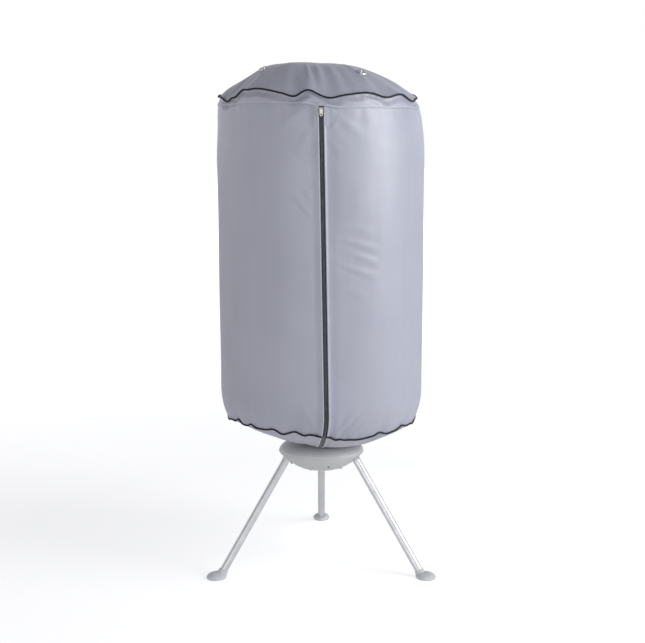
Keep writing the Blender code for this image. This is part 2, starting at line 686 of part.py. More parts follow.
def build_base(axis):
    base = add_empty("base_bottom", axis, (0, 0, BASE_BOTTOM_Z))
    add_part("lower_housing", lower_housing_mesh(), HOUSING, base)
    add_part("upper_housing", upper_housing_mesh(), HOUSING, base)
    add_part("intake_grille", intake_grille_mesh(), DARK_PLASTIC, base)
    filter_low = GRILLE_THICKNESS + GAP
    foam = rod(INTAKE_LIP_RADIUS - 0.0005, filter_low, INTAKE_LIP_HEIGHT - 0.0001, 32)
    add_part("intake_filter", foam, FILTER_FOAM, base)
    add_part("outlet_grille", outlet_grille_mesh(), DARK_PLASTIC, base)
    add_part("fan_shroud", fan_shroud_mesh(), DARK_PLASTIC, base)
    add_part("fan_motor", fan_motor_mesh(), DULL_METAL, base)
    add_part("motor_shaft", rod(0.0016, IMPELLER_BOTTOM - 0.0020, 0.0390, 12), STEEL, base)
    add_part("fan_impeller", fan_impeller_mesh(), DARK_PLASTIC, base)
    add_part("heater_frame", heater_frame_mesh(), CERAMIC, base)
    add_part("ptc_heater", ptc_heater_mesh(), DULL_METAL, base)
    cutout_x = (HEATER_HALF + FRAME_HALF) / 2
    cutout_low = SHROUD_TOP + 0.0178
    cutout = rod(0.0035, cutout_low, cutout_low + 0.0042, 16)
    add_part("thermal_cutout", cutout, COPPER, base, (cutout_x, 0, 0))
    add_part("terminal_block", terminal_block_mesh(), CERAMIC, base)
    rear = add_empty("timer_axis", base, (REAR_FITTING_X, REAR_FACE_Y, REAR_FITTING_HEIGHT))
    rear.rotation_euler.x = math.radians(-90)
    add_part("timer_knob", timer_knob_mesh(), DARK_PLASTIC, rear)
    add_part("timer_switch", timer_switch_mesh(), PALE_PLASTIC, rear)
    gland = add_empty("gland_axis", base, (-REAR_FITTING_X, REAR_FACE_Y, REAR_FITTING_HEIGHT))
    gland.rotation_euler.x = math.radians(-90)
    add_part("cord_gland", cord_gland_mesh(), DARK_PLASTIC, gland)
    lens = add_empty("lens_axis", base, azimuth=LENS_AZIMUTH)
    lens_place = (LENS_RADIUS_FROM_AXIS, 0, LENS_HEIGHT)
    add_part("indicator_lens", lens_mesh(), LENS, lens, lens_place, (0, math.radians(90), 0))
    for number, azimuth in enumerate(SCREW_AZIMUTHS, 1):
        holder = add_empty(f"screw_axis_{number}", base, azimuth=azimuth)
        add_part(f"housing_screw_{number}", screw_mesh(), STEEL, holder, (SCREW_CIRCLE, 0, SCREW_SEAT))


# ---------------------------------------------------------------- tripod

def knuckle_mesh():
    """Plug in the tube's top end, with a tongue round the hinge pin."""
    tongue = [(-KNUCKLE_RADIUS, -KNUCKLE_COLLAR), (KNUCKLE_RADIUS, -KNUCKLE_COLLAR)]
    tongue += arc((0, 0), KNUCKLE_RADIUS, 0, 180, 7)
    mesh = prism(tongue, KNUCKLE_HALF_WIDTH)
    plug = rod(LEG_TUBE_RADIUS - LEG_WALL - 2 * GAP, -0.0360, -0.0130, 12)
    collar = rod(LEG_TUBE_RADIUS, -KNUCKLE_COLLAR + GAP, -0.0120)
    mesh = join(join(mesh, plug), collar)
    hole = moved(rod(HINGE_PIN_RADIUS + GAP, -0.020, 0.020, 12), along_y(0, 0, 0))
    return cut(mesh, hole)


def foot_mesh():
    """Low oval dome with a short sleeve for the tube, its origin under its own middle."""
    dome = []
    for i in range(6):
        angle = math.radians(90 * i / 5)
        dome.append((math.cos(angle), FOOT_EDGE + (FOOT_HEIGHT - FOOT_EDGE) * math.sin(angle)))
    outline = [(0.0, 0.0), (0.94, 0.0)] + dome[:-1] + [(0.0, FOOT_HEIGHT)]
    oval = Matrix.Diagonal((FOOT_LENGTH / 2, FOOT_WIDTH / 2, 1.0, 1.0))
    mesh = moved(turned(outline, 24), oval)
    centre = (LEG_END_RADIUS - FOOT_RADIUS_FROM_AXIS, 0, LEG_END_Z)
    tilt = Matrix.Translation(centre) @ Matrix.Rotation(-LEG_TILT, 4, "Y")
    sleeve = moved(rod(LEG_TUBE_RADIUS + 0.0026, -0.0030, 0.0110, 20), tilt)
    mesh = join(mesh, sleeve)
    mesh = cut(mesh, block((-0.060, -0.040, -0.030), (0.060, 0.040, 0.0)))
    return cut(mesh, moved(rod(LEG_TUBE_RADIUS + GAP, -GAP, 0.040, 20), tilt))


def build_leg(axis, side, azimuth):
    frame = add_empty(f"leg_frame_{side}", axis, azimuth=azimuth)
    hinge = add_empty(f"leg_hinge_{side}", frame, (HINGE_RADIUS, 0, HINGE_Z))
    tilt = (0, -LEG_TILT, 0)
    pipe = tube(LEG_TUBE_RADIUS, LEG_TUBE_RADIUS - LEG_WALL, -LEG_LENGTH, -KNUCKLE_COLLAR)
    add_part(f"leg_tube_{side}", pipe, STEEL, hinge, rotation=tilt)
    add_part(f"leg_knuckle_{side}", knuckle_mesh(), STEEL, hinge, rotation=tilt)
    foot_place = (FOOT_RADIUS_FROM_AXIS - HINGE_RADIUS, 0, -HINGE_Z)
    add_part(f"leg_foot_{side}", foot_mesh(), RUBBER, hinge, foot_place)
    pin_half = POCKET_HALF_WIDTH + POCKET_WALL - 0.0004
    pin = moved(rod(HINGE_PIN_RADIUS, -pin_half, pin_half, 12), along_y(0, 0, 0))
    add_part(f"leg_pin_{side}", pin, STEEL, frame, (HINGE_RADIUS, 0, HINGE_Z))


# ---------------------------------------------------------------- mast and hanger

def mast_lower_mesh():
    """Pipe whose reduced top end plugs into the upper pipe."""
    plug = MAST_RADIUS - MAST_WALL - 0.0004
    outline = [
        (plug - MAST_WALL, MAST_BOTTOM_Z),
        (MAST_RADIUS, MAST_BOTTOM_Z),
        (MAST_RADIUS, MAST_JOINT_Z),
        (plug, MAST_JOINT_Z),
        (plug, MAST_JOINT_Z + MAST_PLUG_LENGTH),
        (plug - MAST_WALL, MAST_JOINT_Z + MAST_PLUG_LENGTH),
    ]
    return turned(outline, 20)


def arm_azimuths():
    return [30.0 + 360.0 * i / ARM_COUNT for i in range(ARM_COUNT)]


def arm_slot():
    """Room for one arm's root, open outwards and downwards."""
    outline = [
        (ARM_PIVOT_RADIUS - 0.0068, HUB_BOTTOM_Z - 0.010),
        (HUB_RADIUS + 0.010, HUB_BOTTOM_Z - 0.010),
        (HUB_RADIUS + 0.010, ARM_PIVOT_Z + 0.0072),
        (ARM_PIVOT_RADIUS - 0.0068, ARM_PIVOT_Z + 0.0072),
    ]
    return prism(outline, ARM_HALF_THICKNESS + 0.0010)


def arm_ring_mesh(thickness):
    """Six-sided wire whose straight sides are the arms' hinge lines."""
    half_side = math.pi / ARM_COUNT
    wire = ring(ARM_PIVOT_RADIUS / math.cos(half_side), ARM_PIVOT_Z, thickness, ARM_COUNT, 8)
    return moved(wire, Matrix.Rotation(half_side, 4, "Z"))


def hub_mesh():
    outline = [
        (MAST_RADIUS + GAP, HUB_BOTTOM_Z), (HUB_RADIUS - HUB_EDGE, HUB_BOTTOM_Z),
        (HUB_RADIUS, HUB_BOTTOM_Z + HUB_EDGE), (HUB_RADIUS, HUB_TOP_Z - HUB_EDGE),
        (HUB_RADIUS - HUB_EDGE, HUB_TOP_Z), (MAST_RADIUS + GAP, HUB_TOP_Z),
    ]
    mesh = turned(outline, 24)
    for azimuth in arm_azimuths():
        mesh = cut(mesh, moved(arm_slot(), Matrix.Rotation(math.radians(azimuth - 90), 4, "Z")))
    return cut(mesh, arm_ring_mesh(0.0019))


def arm_mesh():
    """Bar with two hook notches and an upturned tip, its origin on its hinge line."""
    length = ARM_TIP_RADIUS - ARM_PIVOT_RADIUS
    top = ARM_HALF_HEIGHT
    outline = arc((0, 0), ARM_ROOT_RADIUS, 90, 270, 6)
    outline += [(0.040, -top), (length - 0.016, -top * 0.5)]
    outline += arc((length - 0.0050, 0.0100), 0.0050, -60, 180, 5)
    outline += [(length - 0.0130, top * 0.85)]
    for radius in reversed(ARM_NOTCHES):
        middle = radius - ARM_PIVOT_RADIUS
        outline += [
            (middle + NOTCH_WIDTH / 2, top),
            (middle + NOTCH_WIDTH / 2, top - NOTCH_DEPTH),
            (middle - NOTCH_WIDTH / 2, top - NOTCH_DEPTH),
            (middle - NOTCH_WIDTH / 2, top),
        ]
    outline += [(0.020, top)]
    mesh = prism(outline, ARM_HALF_THICKNESS)
    return cut(mesh, moved(rod(0.0021, -0.010, 0.010, 12), along_y(0, 0, 0)))


def crown_mesh():
    """Domed disc on the mast's tip that carries the cover's top."""
    line = []
    for i in range(5):
        radius = CROWN_RADIUS * (1 - i / 4)
        line.append((radius, dome_height(radius) - COVER_THICKNESS - 0.0022))
    sleeve_bottom = MAST_TOP_Z - 0.020
    under = [
        (0.0, MAST_TOP_Z + GAP), (MAST_RADIUS + GAP, MAST_TOP_Z + GAP),
        (MAST_RADIUS + GAP, sleeve_bottom), (0.0150, sleeve_bottom),
        (0.0180, line[2][1] - 0.0060), (CROWN_RADIUS, line[0][1] - 0.0030),
    ]
    return turned(line + under, 28)


def build_mast(axis):
    add_part("mast_lower", mast_lower_mesh(), STEEL, axis)
    inner = MAST_RADIUS - MAST_WALL
    add_part("mast_upper", tube(MAST_RADIUS, inner, MAST_JOINT_Z + GAP, MAST_TOP_Z), STEEL, axis)
    add_part("hanger_hub", hub_mesh(), PALE_PLASTIC, axis)
    add_part("arm_ring", arm_ring_mesh(0.0015), STEEL, axis)
    for number, azimuth in enumerate(arm_azimuths(), 1):
        arm_frame = add_empty(f"arm_frame_{number}", axis, azimuth=azimuth)
        pivot = add_empty(f"arm_pivot_{number}", arm_frame, (ARM_PIVOT_RADIUS, 0, ARM_PIVOT_Z))
        add_part(f"hanger_arm_{number}", arm_mesh(), PALE_PLASTIC, pivot)
    add_part("crown_disc", crown_mesh(), PALE_PLASTIC, axis)


# ---------------------------------------------------------------- cover

def dome_height(radius):
    return COVER_APEX_Z - DOME_RISE * (radius / TOP_PIPING_RADIUS) ** DOME_POWER


def side_radius(height):
    """Outer radius of the cover's wall: full in the middle, drawn in to each piping."""
    if height > TOP_PIPING_Z - SHOULDER_HEIGHT:
        part = (TOP_PIPING_Z - height) / SHOULDER_HEIGHT
        swing = (1 - math.cos(math.pi * part)) / 2
        return TOP_PIPING_RADIUS + (COVER_RADIUS - TOP_PIPING_RADIUS) * swing
    if height < CYLINDER_BOTTOM_Z:
        part = (CYLINDER_BOTTOM_Z - height) / (CYLINDER_BOTTOM_Z - BOTTOM_PIPING_Z)
        return COVER_RADIUS - (COVER_RADIUS - BOTTOM_PIPING_RADIUS) * part ** TUCK_POWER
    return COVER_RADIUS


def panel_height(radius):
    """Outer (lower) surface of the bottom panel."""
    part = (radius - COLLAR_RADIUS) / (BOTTOM_PIPING_RADIUS - COLLAR_RADIUS)
    rise = BOTTOM_PIPING_Z - COLLAR_Z - 0.001
    return COLLAR_Z + rise * max(part, 0.0) ** PANEL_POWER


def steps(start, stop, count):
    return [start + (stop - start) * i / count for i in range(count + 1)]


def wall_line(top, bottom, count):
    """Points down the cover's wall."""
    return [(side_radius(z), z) for z in steps(top, bottom, count)]


def zip_sideways(out, up):
    """Sideways place of the zipper's centre line, at a radius and a height."""
    if out < BOTTOM_PIPING_RADIUS:
        share = (out - ZIP_END_RADIUS) / (BOTTOM_PIPING_RADIUS - ZIP_END_RADIUS)
        return ZIP_END_X + (ZIP_PIPING_X - ZIP_END_X) * share
    if up > ZIP_BEND_Z:
        return ZIP_LEAN * (SEAM_Z - up)
    share = (up - BOTTOM_PIPING_Z) / (ZIP_BEND_Z - BOTTOM_PIPING_Z)
    return ZIP_PIPING_X + (ZIP_BEND_X - ZIP_PIPING_X) * share


def wall_slit_cutter(bottom, top):
    """Slot for a straight stretch of the zipper, through the wall."""
    outside = COVER_RADIUS + 0.040
    inside = COVER_RADIUS - 0.040
    mesh = block((-SLIT_HALF_WIDTH, -outside, bottom), (SLIT_HALF_WIDTH, -inside, top))
    for vert in mesh.vertices:
        vert.co.x += zip_sideways(COVER_RADIUS, vert.co.z)
    return mesh


def lower_slit_cutter():
    """Slot below the zipper's bend, through the wall and the bottom piping."""
    return wall_slit_cutter(BOTTOM_PIPING_Z - 0.010, ZIP_BEND_Z)


def upper_slit_cutter():
    return wall_slit_cutter(ZIP_BEND_Z - 0.0010, SEAM_Z + 0.010)


def panel_slit_cutter():
    """Slot for the zipper's end, through the bottom panel."""
    low = (-SLIT_HALF_WIDTH, -BOTTOM_PIPING_RADIUS, COLLAR_Z - 0.050)
    mesh = block(low, (SLIT_HALF_WIDTH, -ZIP_END_RADIUS + 0.0020, BOTTOM_PIPING_Z + 0.010))
    for vert in mesh.vertices:
        vert.co.x += zip_sideways(-vert.co.y, BOTTOM_PIPING_Z)
    return mesh


def cover_top_mesh():
    """Shallow dome with three eyelet holes."""
    near_eyelets = (EYELET_RING_RADIUS + 0.016, EYELET_RING_RADIUS - 0.014)
    radii = (TOP_PIPING_RADIUS - 0.0032, 0.248, 0.217, *near_eyelets, 0.118, 0.064, 0.0)
    line = [(r, dome_height(r)) for r in radii]
    mesh = turned(thickened(line, COVER_THICKNESS))
    for azimuth in EYELET_AZIMUTHS:
        mesh = cut(mesh, moved(rod(EYELET_HOLE, -0.008, 0.008, 12), eyelet_place(azimuth)))
    return mesh


def eyelet_slope():
    step = 0.001
    fall = dome_height(EYELET_RING_RADIUS - step) - dome_height(EYELET_RING_RADIUS + step)
    return math.atan2(fall, 2 * step)


def eyelet_place(azimuth):
    """Matrix that lays an eyelet's +Z along the dome's normal."""
    height = dome_height(EYELET_RING_RADIUS) - COVER_THICKNESS / 2
    return facing_out(EYELET_RING_RADIUS, height, azimuth) @ Matrix.Rotation(eyelet_slope(), 4, "Y")


def eyelet_mesh():
    """Two flanges and the neck that joins them through the cloth."""
    face = EYELET_FACE
    back = EYELET_BACK
    rolled = EYELET_FLANGE - 0.0012
    outline = [
        (EYELET_BORE, -back), (EYELET_FLANGE, -back), (EYELET_FLANGE, -face), (EYELET_NECK, -face),
        (EYELET_NECK, face), (EYELET_FLANGE, face), (rolled, back), (EYELET_BORE, back),
    ]
    return turned(outline, 16)


def zip_path():
    """Points (out, up) down the middle of the cloth's thickness, along the front."""
    half = COVER_THICKNESS / 2
    points = [(side_radius(z) - half, z) for z in (SEAM_Z - 0.0008, SEAM_Z - 0.004, CYLINDER_BOTTOM_Z)]
    curved = steps(ZIP_BEND_Z, BOTTOM_PIPING_Z + 0.004, 4)
    points += [(side_radius(z) - half, z) for z in curved]
    across = steps(BOTTOM_PIPING_RADIUS - 0.005, ZIP_END_RADIUS, 7)
    points += [(r, panel_height(r) + half) for r in across]
    return points


def zipper_half_mesh(side):
    """One tape with its coil edge. side is -1 for the left half and 1 for the right."""
    path = [Vector(point) for point in zip_path()]
    bead = ZIP_CENTRE_GAP + ZIP_BEAD_WIDTH
    flat = ZIP_TAPE_HALF_THICKNESS
    raised = flat + ZIP_BEAD_HEIGHT
    section = [
        (ZIP_CENTRE_GAP, -flat), (ZIP_HALF_WIDTH, -flat), (ZIP_HALF_WIDTH, flat),
        (bead, flat), (bead, raised), (ZIP_CENTRE_GAP, raised),
    ]
    sections = []
    for i, point in enumerate(path):
        along = (path[min(i + 1, len(path) - 1)] - path[max(i - 1, 0)]).normalized()
        out = Vector((-along.y, along.x))
        middle = zip_sideways(*point)
        sections.append([
            (middle + side * x, -(point.x + out.x * lift), point.y + out.y * lift)
            for x, lift in section])
    return lofted(sections)


def slider_mesh():
    """Two plates joined by a thin web between the zipper's halves, and a bail for the pull."""
    half = SLIDER_HEIGHT / 2
    back = ZIP_TAPE_HALF_THICKNESS + SLIDER_CLEARANCE
    front = ZIP_TAPE_HALF_THICKNESS + ZIP_BEAD_HEIGHT + SLIDER_CLEARANCE
    wide = SLIDER_HALF_WIDTH
    into = 0.0005               # how far the pieces run into each other, so that they join
    mesh = block((-wide, -front - SLIDER_PLATE, -half), (wide, -front, half))
    mesh = join(mesh, block((-wide, back, -half), (wide, back + SLIDER_PLATE, half)))
    web_half = half - 0.0010
    mesh = join(mesh, block((-GAP, -front - into, -web_half), (GAP, back + into, web_half)))
    for side in (-1, 1):
        x = side * BAIL_X
        low = (x - BAIL_HALF, -PULL_STANDOFF - 0.0014, BAIL_HEIGHT - 0.0015)
        mesh = join(mesh, block(low, (x + BAIL_HALF, -front - into, BAIL_HEIGHT + 0.0015)))
    pin = moved(rod(PULL_PIN_RADIUS, -0.0035, 0.0035, 12), Matrix.Rotation(math.radians(90), 4, "Y"))
    return join(mesh, moved(pin, Matrix.Translation((0, -PULL_STANDOFF, BAIL_HEIGHT))))


def pull_mesh():
    """Tab with an eye at the top and a hole near its end, its origin on the eye's axis."""
    sideways = Matrix.Rotation(math.radians(90), 4, "Y")
    eye = moved(rod(PULL_EYE_RADIUS, -0.0026, 0.0026, 16), sideways)
    wide = PULL_HALF_WIDTH
    shoulder = -0.0080
    outline = [(-0.0022, 0.0), (-wide, shoulder)]
    outline += arc((0, wide - PULL_LENGTH), wide, 180, 360, 8)
    outline += [(wide, shoulder), (0.0022, 0.0)]
    mesh = join(eye, prism(outline, 0.0006))
    mesh = cut(mesh, moved(rod(PULL_PIN_RADIUS + GAP, -0.006, 0.006, 12), sideways.copy()))
    hole = moved(rod(PULL_HOLE_RADIUS, -0.006, 0.006, 16), along_y(0, 0, -PULL_LENGTH + 0.0046))
    return cut(mesh, hole)


def build_cover(axis):
    add_part("cover_top", cover_top_mesh(), FABRIC, axis)
    band = wall_line(SEAM_Z + 0.0013, TOP_PIPING_Z - 0.0035, 2)
    add_part("cover_band", turned(thickened(band, COVER_THICKNESS)), FABRIC, axis)
    side = wall_line(BOTTOM_PIPING_Z + 0.0034, CYLINDER_BOTTOM_Z, 4)
    side += [(side_radius(SEAM_Z), SEAM_Z)]
    wall = cut(turned(thickened(side, COVER_THICKNESS)), upper_slit_cutter())
    add_part("cover_side", cut(wall, lower_slit_cutter()), FABRIC, axis)
    across = steps(COLLAR_RADIUS + 0.0006, BOTTOM_PIPING_RADIUS - 0.0034, 5)
    bottom = [(r, panel_height(r)) for r in across]
    panel = cut(turned(thickened(bottom, COVER_THICKNESS)), panel_slit_cutter())
    add_part("cover_bottom", panel, FABRIC, axis)
    add_part("piping_top", ring(TOP_PIPING_RADIUS, TOP_PIPING_Z, PIPING_SIZE), PIPING, axis)
    lower = cut(ring(BOTTOM_PIPING_RADIUS, BOTTOM_PIPING_Z, PIPING_SIZE), lower_slit_cutter())
    add_part("piping_bottom", lower, PIPING, axis)
    elastic = ring((COLLAR_RADIUS + NECK_RADIUS) / 2, COLLAR_Z + 0.0060, 0.0028, 32)
    add_part("collar_elastic", elastic, PIPING, axis)
    for number, azimuth in enumerate(EYELET_AZIMUTHS, 1):
        location, rotation, _ = eyelet_place(azimuth).decompose()
        add_part(f"vent_eyelet_{number}", eyelet_mesh(), STEEL, axis, location, rotation.to_euler())
    add_part("zipper_left", zipper_half_mesh(-1), ZIP_TAPE, axis)
    add_part("zipper_right", zipper_half_mesh(1), ZIP_TAPE, axis)
    slider = add_empty("slider_track", axis, (zip_sideways(ZIP_PLANE, SLIDER_Z), -ZIP_PLANE, SLIDER_Z))
    slider.rotation_euler.y = -math.atan(ZIP_LEAN)
    add_part("zip_slider", slider_mesh(), STEEL, slider)
    pull = add_empty("pull_axis", slider, (0, ZIP_PLANE - PULL_PIN_OUT, BAIL_HEIGHT))
    add_part("zip_pull", pull_mesh(), STEEL, pull)


def main():
    for item in list(bpy.data.objects):
        bpy.data.objects.remove(item)
    axis = add_empty("mast_axis", None, (0, MAST_AXIS_Y, 0))
    build_base(axis)
    for side, azimuth in LEG_AZIMUTHS.items():
        build_leg(axis, side, azimuth)
    build_mast(axis)
    build_cover(axis)


main()
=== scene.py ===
"""Looks of a portable clothes dryer: zipped fabric drum on a blower base with a tripod.

The CAD frame gives every position. The fabric panels, pipings, zipper tapes and eyelets are built
here in their place, and every hard part keeps its CAD mesh under a detailed material. Azimuths are
in degrees, counted from the front (-Y) towards +X, round the mast's axis.
"""

import json
import math

import bmesh
import bpy
import numpy as np
from mathutils import Matrix, Vector


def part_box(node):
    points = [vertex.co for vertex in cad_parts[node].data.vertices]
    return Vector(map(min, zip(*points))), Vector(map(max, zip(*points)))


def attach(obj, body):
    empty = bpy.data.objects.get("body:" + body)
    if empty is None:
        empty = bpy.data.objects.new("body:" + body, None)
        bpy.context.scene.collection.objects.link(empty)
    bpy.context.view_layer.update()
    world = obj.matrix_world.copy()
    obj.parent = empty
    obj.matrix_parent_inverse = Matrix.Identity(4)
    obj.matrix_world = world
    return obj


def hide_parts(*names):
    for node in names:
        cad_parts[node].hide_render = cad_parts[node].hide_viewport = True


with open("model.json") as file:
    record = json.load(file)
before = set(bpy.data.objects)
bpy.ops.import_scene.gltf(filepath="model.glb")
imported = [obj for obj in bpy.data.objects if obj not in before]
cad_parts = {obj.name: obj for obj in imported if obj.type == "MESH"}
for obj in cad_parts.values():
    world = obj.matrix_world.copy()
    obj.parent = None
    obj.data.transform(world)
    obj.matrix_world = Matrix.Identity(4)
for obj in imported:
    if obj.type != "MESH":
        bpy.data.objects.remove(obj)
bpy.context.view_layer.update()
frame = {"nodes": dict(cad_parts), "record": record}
MM = 0.001
TAU = math.tau


# ---------------------------------------------------------------- sizes, read from the CAD frame

def middle(node):
    low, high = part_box(node)
    return (low + high) / 2


def half_width(node):
    low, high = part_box(node)
    return (high.x - low.x) / 2


AXIS = middle("mast_upper")
WALL_RADIUS = half_width("cover_side")
GIRTH = TAU * WALL_RADIUS
APEX_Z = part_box("cover_top")[1].z
TOP_RING = half_width("piping_top") - 2 * MM
TOP_Z = middle("piping_top").z
SEAM_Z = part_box("cover_side")[1].z
BOTTOM_RING = half_width("piping_bottom") - 2 * MM
BOTTOM_Z = middle("piping_bottom").z
COLLAR_RING = half_width("collar_elastic")
COLLAR_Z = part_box("cover_bottom")[0].z
ZIP_END_RADIUS = AXIS.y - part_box("zipper_left")[1].y

# Shape of the cover's panels, as in the CAD
DOME_POWER = 2.45
SHOULDER_HEIGHT = 26 * MM
TUCK_HEIGHT = 87 * MM           # of the wall's inward curve over the bottom piping
TUCK_POWER = 2.2
PANEL_POWER = 1.6

# Zipper. Its centre line leans to the right down the wall, as the slider's track does, and turns
# back to the left above the bottom piping.
ZIP_LEAN = 0.0173
ZIP_BEND_Z = BOTTOM_Z + TUCK_HEIGHT - 20 * MM
ZIP_BEND_X = ZIP_LEAN * (SEAM_Z - ZIP_BEND_Z)
ZIP_PIPING_X = 8 * MM
ZIP_END_X = -6 * MM
ZIP_SHIFT_REACH = 0.20          # how far round the cloth goes sideways with the zipper
UNMOVED_FRONT = 0.045           # how far round the front stays put where the drum leans
SLIT = 6.0 * MM                 # from the centre line to each folded edge
TAPE_EDGE = 9.6 * MM            # from the centre line to each tape's outer edge
TAPE_HALF = 0.35 * MM           # half the tape's thickness
TAPE_DEPTH = 1 * MM             # of the tape behind the face of the cover
TAPE_STITCH = 5.2 * MM          # from the centre line to the seam on each tape
TOOTH_PITCH = 2.2 * MM
STITCH_LINE = 8.6 * MM          # from the centre line to each hem's topstitching
STITCH_PITCH = 4.4 * MM
STITCH_LENGTH = 3.4 * MM
STITCH_RADIUS = 0.62 * MM
PIPING_RADIUS = 2.5 * MM


# ---------------------------------------------------------------- mesh helpers

def placed(name, data):
    """A new object in the scene."""
    made = bpy.data.objects.new(name, data)
    bpy.context.scene.collection.objects.link(made)
    return made


def new_object(name, mesh, material, node=None):
    """Make a mesh a piece on the stand, in the place of a CAD node where one is given."""
    piece = placed(name, mesh)
    mesh.materials.append(MATERIALS[material])
    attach(piece, "stand")
    if node:
        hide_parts(node)
    return piece


def grid_mesh(name, points, uv, closed):
    """Quads over a (rows, columns, 3) grid. uv is in metres of cloth. closed joins the last column."""
    rows, columns = points.shape[:2]
    index = np.arange(rows * columns).reshape(rows, columns)
    span = columns if closed else columns - 1
    here = np.arange(span)
    there = (here + 1) % columns
    quads = np.stack([
        index[:-1][:, here], index[1:][:, here], index[1:][:, there], index[:-1][:, there]], axis=-1)
    quads = quads.reshape(-1, 4)
    mesh = bpy.data.meshes.new(name)
    mesh.from_pydata(points.reshape(-1, 3).tolist(), [], quads.tolist())
    layer = mesh.uv_layers.new(name="cloth")
    corner_uv = uv.reshape(-1, 2)[quads.ravel()].astype(np.float32)
    if closed:
        wrap = uv[0, -1, 0] + (uv[0, -1, 0] - uv[0, -2, 0])
        last = np.zeros((rows - 1, span, 4), bool)
        last[:, -1, 2:] = True
        corner_uv[last.reshape(-1), 0] = wrap
    layer.data.foreach_set("uv", corner_uv.ravel())
    mesh.shade_smooth()
    return mesh


def finished(bm, name):
    """Turn a bmesh into a mesh and let the bmesh go."""
    mesh = bpy.data.meshes.new(name)
    bm.to_mesh(mesh)
    bm.free()
    return mesh


def loft_shape(rings, closed=False):
    """Vertices and faces skinned over a row of equal rings of points, with an open row capped."""
    sides = len(rings[0])
    vertices = [point for ring in rings for point in ring]
    total = len(vertices)
    faces = []
    for base in range(0, total if closed else total - sides, sides):
        following = (base + sides) % total
        for i in range(sides):
            j = (i + 1) % sides
            faces.append((base + i, base + j, following + j, following + i))
    if not closed:
        faces.append(tuple(range(sides))[::-1])
        faces.append(tuple(range(total - sides, total)))
    return vertices, faces


def sweep_mesh(name, path, section, closed=False):
    """Skin a row of cross-sections. path is a list of (point, sideways, outwards) frames."""
    rings = [[point + side * x + out * y for x, y in section] for point, side, out in path]
    vertices, faces = loft_shape(rings, closed)
    bm = bmesh.new()
    verts = [bm.verts.new(vertex) for vertex in vertices]
    for face in faces:
        bm.faces.new([verts[i] for i in face])
    bmesh.ops.recalc_face_normals(bm, faces=bm.faces)
    mesh = finished(bm, name)
    mesh.shade_smooth()
    mesh.set_sharp_from_angle(angle=math.radians(50))
    return mesh


def stamp(name, shape, matrices, material):
    """One piece that repeats a small (vertices, faces) shape at many places."""
    vertices, faces = shape
    base = np.array(vertices)
    count = len(base)
    all_points = []
    all_faces = []
    for number, matrix in enumerate(matrices):
        rows = np.array(matrix)
        all_points.append(base @ rows[:3, :3].T + rows[:3, 3])
        all_faces += [tuple(i + number * count for i in face) for face in faces]
    mesh = bpy.data.meshes.new(name)
    mesh.from_pydata(np.concatenate(all_points).tolist(), [], all_faces)
    mesh.shade_smooth()
    new_object(name, mesh, material)


def round_section(radius, sides, flatten=1.0):
    """Points of a circle, or of an ellipse flattened across its second direction."""
    return [
        (radius * math.cos(TAU * i / sides), radius * flatten * math.sin(TAU * i / sides))
        for i in range(sides)]


# ---------------------------------------------------------------- shape of the cover

def smooth(value):
    """Ease from 0 to 1."""
    value = np.clip(value, 0, 1)
    return value * value * (3 - 2 * value)


def part_way(value, start, stop):
    """Share of the way from start to stop, kept between 0 and 1."""
    return np.clip((value - start) / (stop - start), 0, 1)


def beyond(u, start, width):
    """Ease from 0 to 1 across a width of cloth that starts this far to either side of the zipper."""
    return smooth((np.abs(u) - start) / width)


def bell(distance, width):
    """1 at no distance, falling smoothly to almost nothing at twice the width."""
    return np.exp(-(distance / width) ** 2)


def turn_from(azimuth, centre=0.0):
    """Signed angle from a centre, from -180 to 180 degrees."""
    return (azimuth - centre + 180) % 360 - 180


def bumps(azimuth, spots):
    """Sum of smooth bumps round the cover. Each spot is (azimuth, height in mm, half width)."""
    total = np.zeros_like(azimuth, dtype=float)
    for centre, height, width in spots:
        total += height * MM * bell(turn_from(azimuth, centre), width)
    return total


def step_round_zipper(azimuth):
    """-1 to the left of the zipper and 1 to its right, fading out towards the back."""
    away = turn_from(azimuth)
    return np.tanh(away / 7) * np.cos(np.radians(away) / 2) ** 2


# How the sewn edges wander: (azimuth, rise in mm, half width in degrees)
TOP_WANDER = (
    (-35, 18, 15), (-45, 4, 3), (-52, -6, 3), (-62, -15, 7), (-13, -6, 4), (-5, 13, 5), (7, -7, 5),
    (27, 7, 9), (41, -5, 6), (53, 5, 6), (68, -13, 8), (84, -4, 8), (105, 8, 10), (128, -5, 8),
    (150, -8, 12), (170, 6, 8), (190, 8, 12), (213, -6, 9), (235, -7, 14), (262, 6, 10))
BOTTOM_WANDER = (
    (-78, -9, 6), (-59, 10, 3), (-46, 7, 2.5), (-30, 5, 3.5), (-24, -6, 3.5), (-17, 4, 2.5),
    (-11, -5, 3), (4, -5, 3), (11, -2, 3), (20, -5, 8), (35, 6, 3), (42, -2, 3), (55, 8, 4),
    (72, -4, 4), (88, 5, 5), (101, -6, 6), (118, 6, 4), (131, -4, 5), (148, 7, 5), (166, -5, 6),
    (184, 5, 4), (199, -6, 6), (214, 6, 5), (231, -5, 5), (247, 6, 5), (263, -5, 5))
SEAM_SHARE = 0.12               # how much of the top piping's wander the flat seam follows
TOP_LIFT = 4 * MM
SEAM_STEP = -5.5 * MM           # rise of the edges from the zipper's left to its right, halved
BOTTOM_STEP = -8 * MM
BOTTOM_LIFT = 9 * MM
PANEL_SAG = 11 * MM             # how far the bottom panel hangs lower on its right
SIDE_TAPER = 7 * MM
TAPER_START_Z = 1.17
WALL_LEAN = -2 * MM             # sideways offset of the straight wall at its top
LEAN_PIVOT_Z = 0.75
LEAN_BEND_Z = 1.22              # above this the drum leans further over
EDGE_LEAN = -10 * MM            # sideways offset of the top piping
DOME_LEAN = -30 * MM            # further offset of the dome's middle
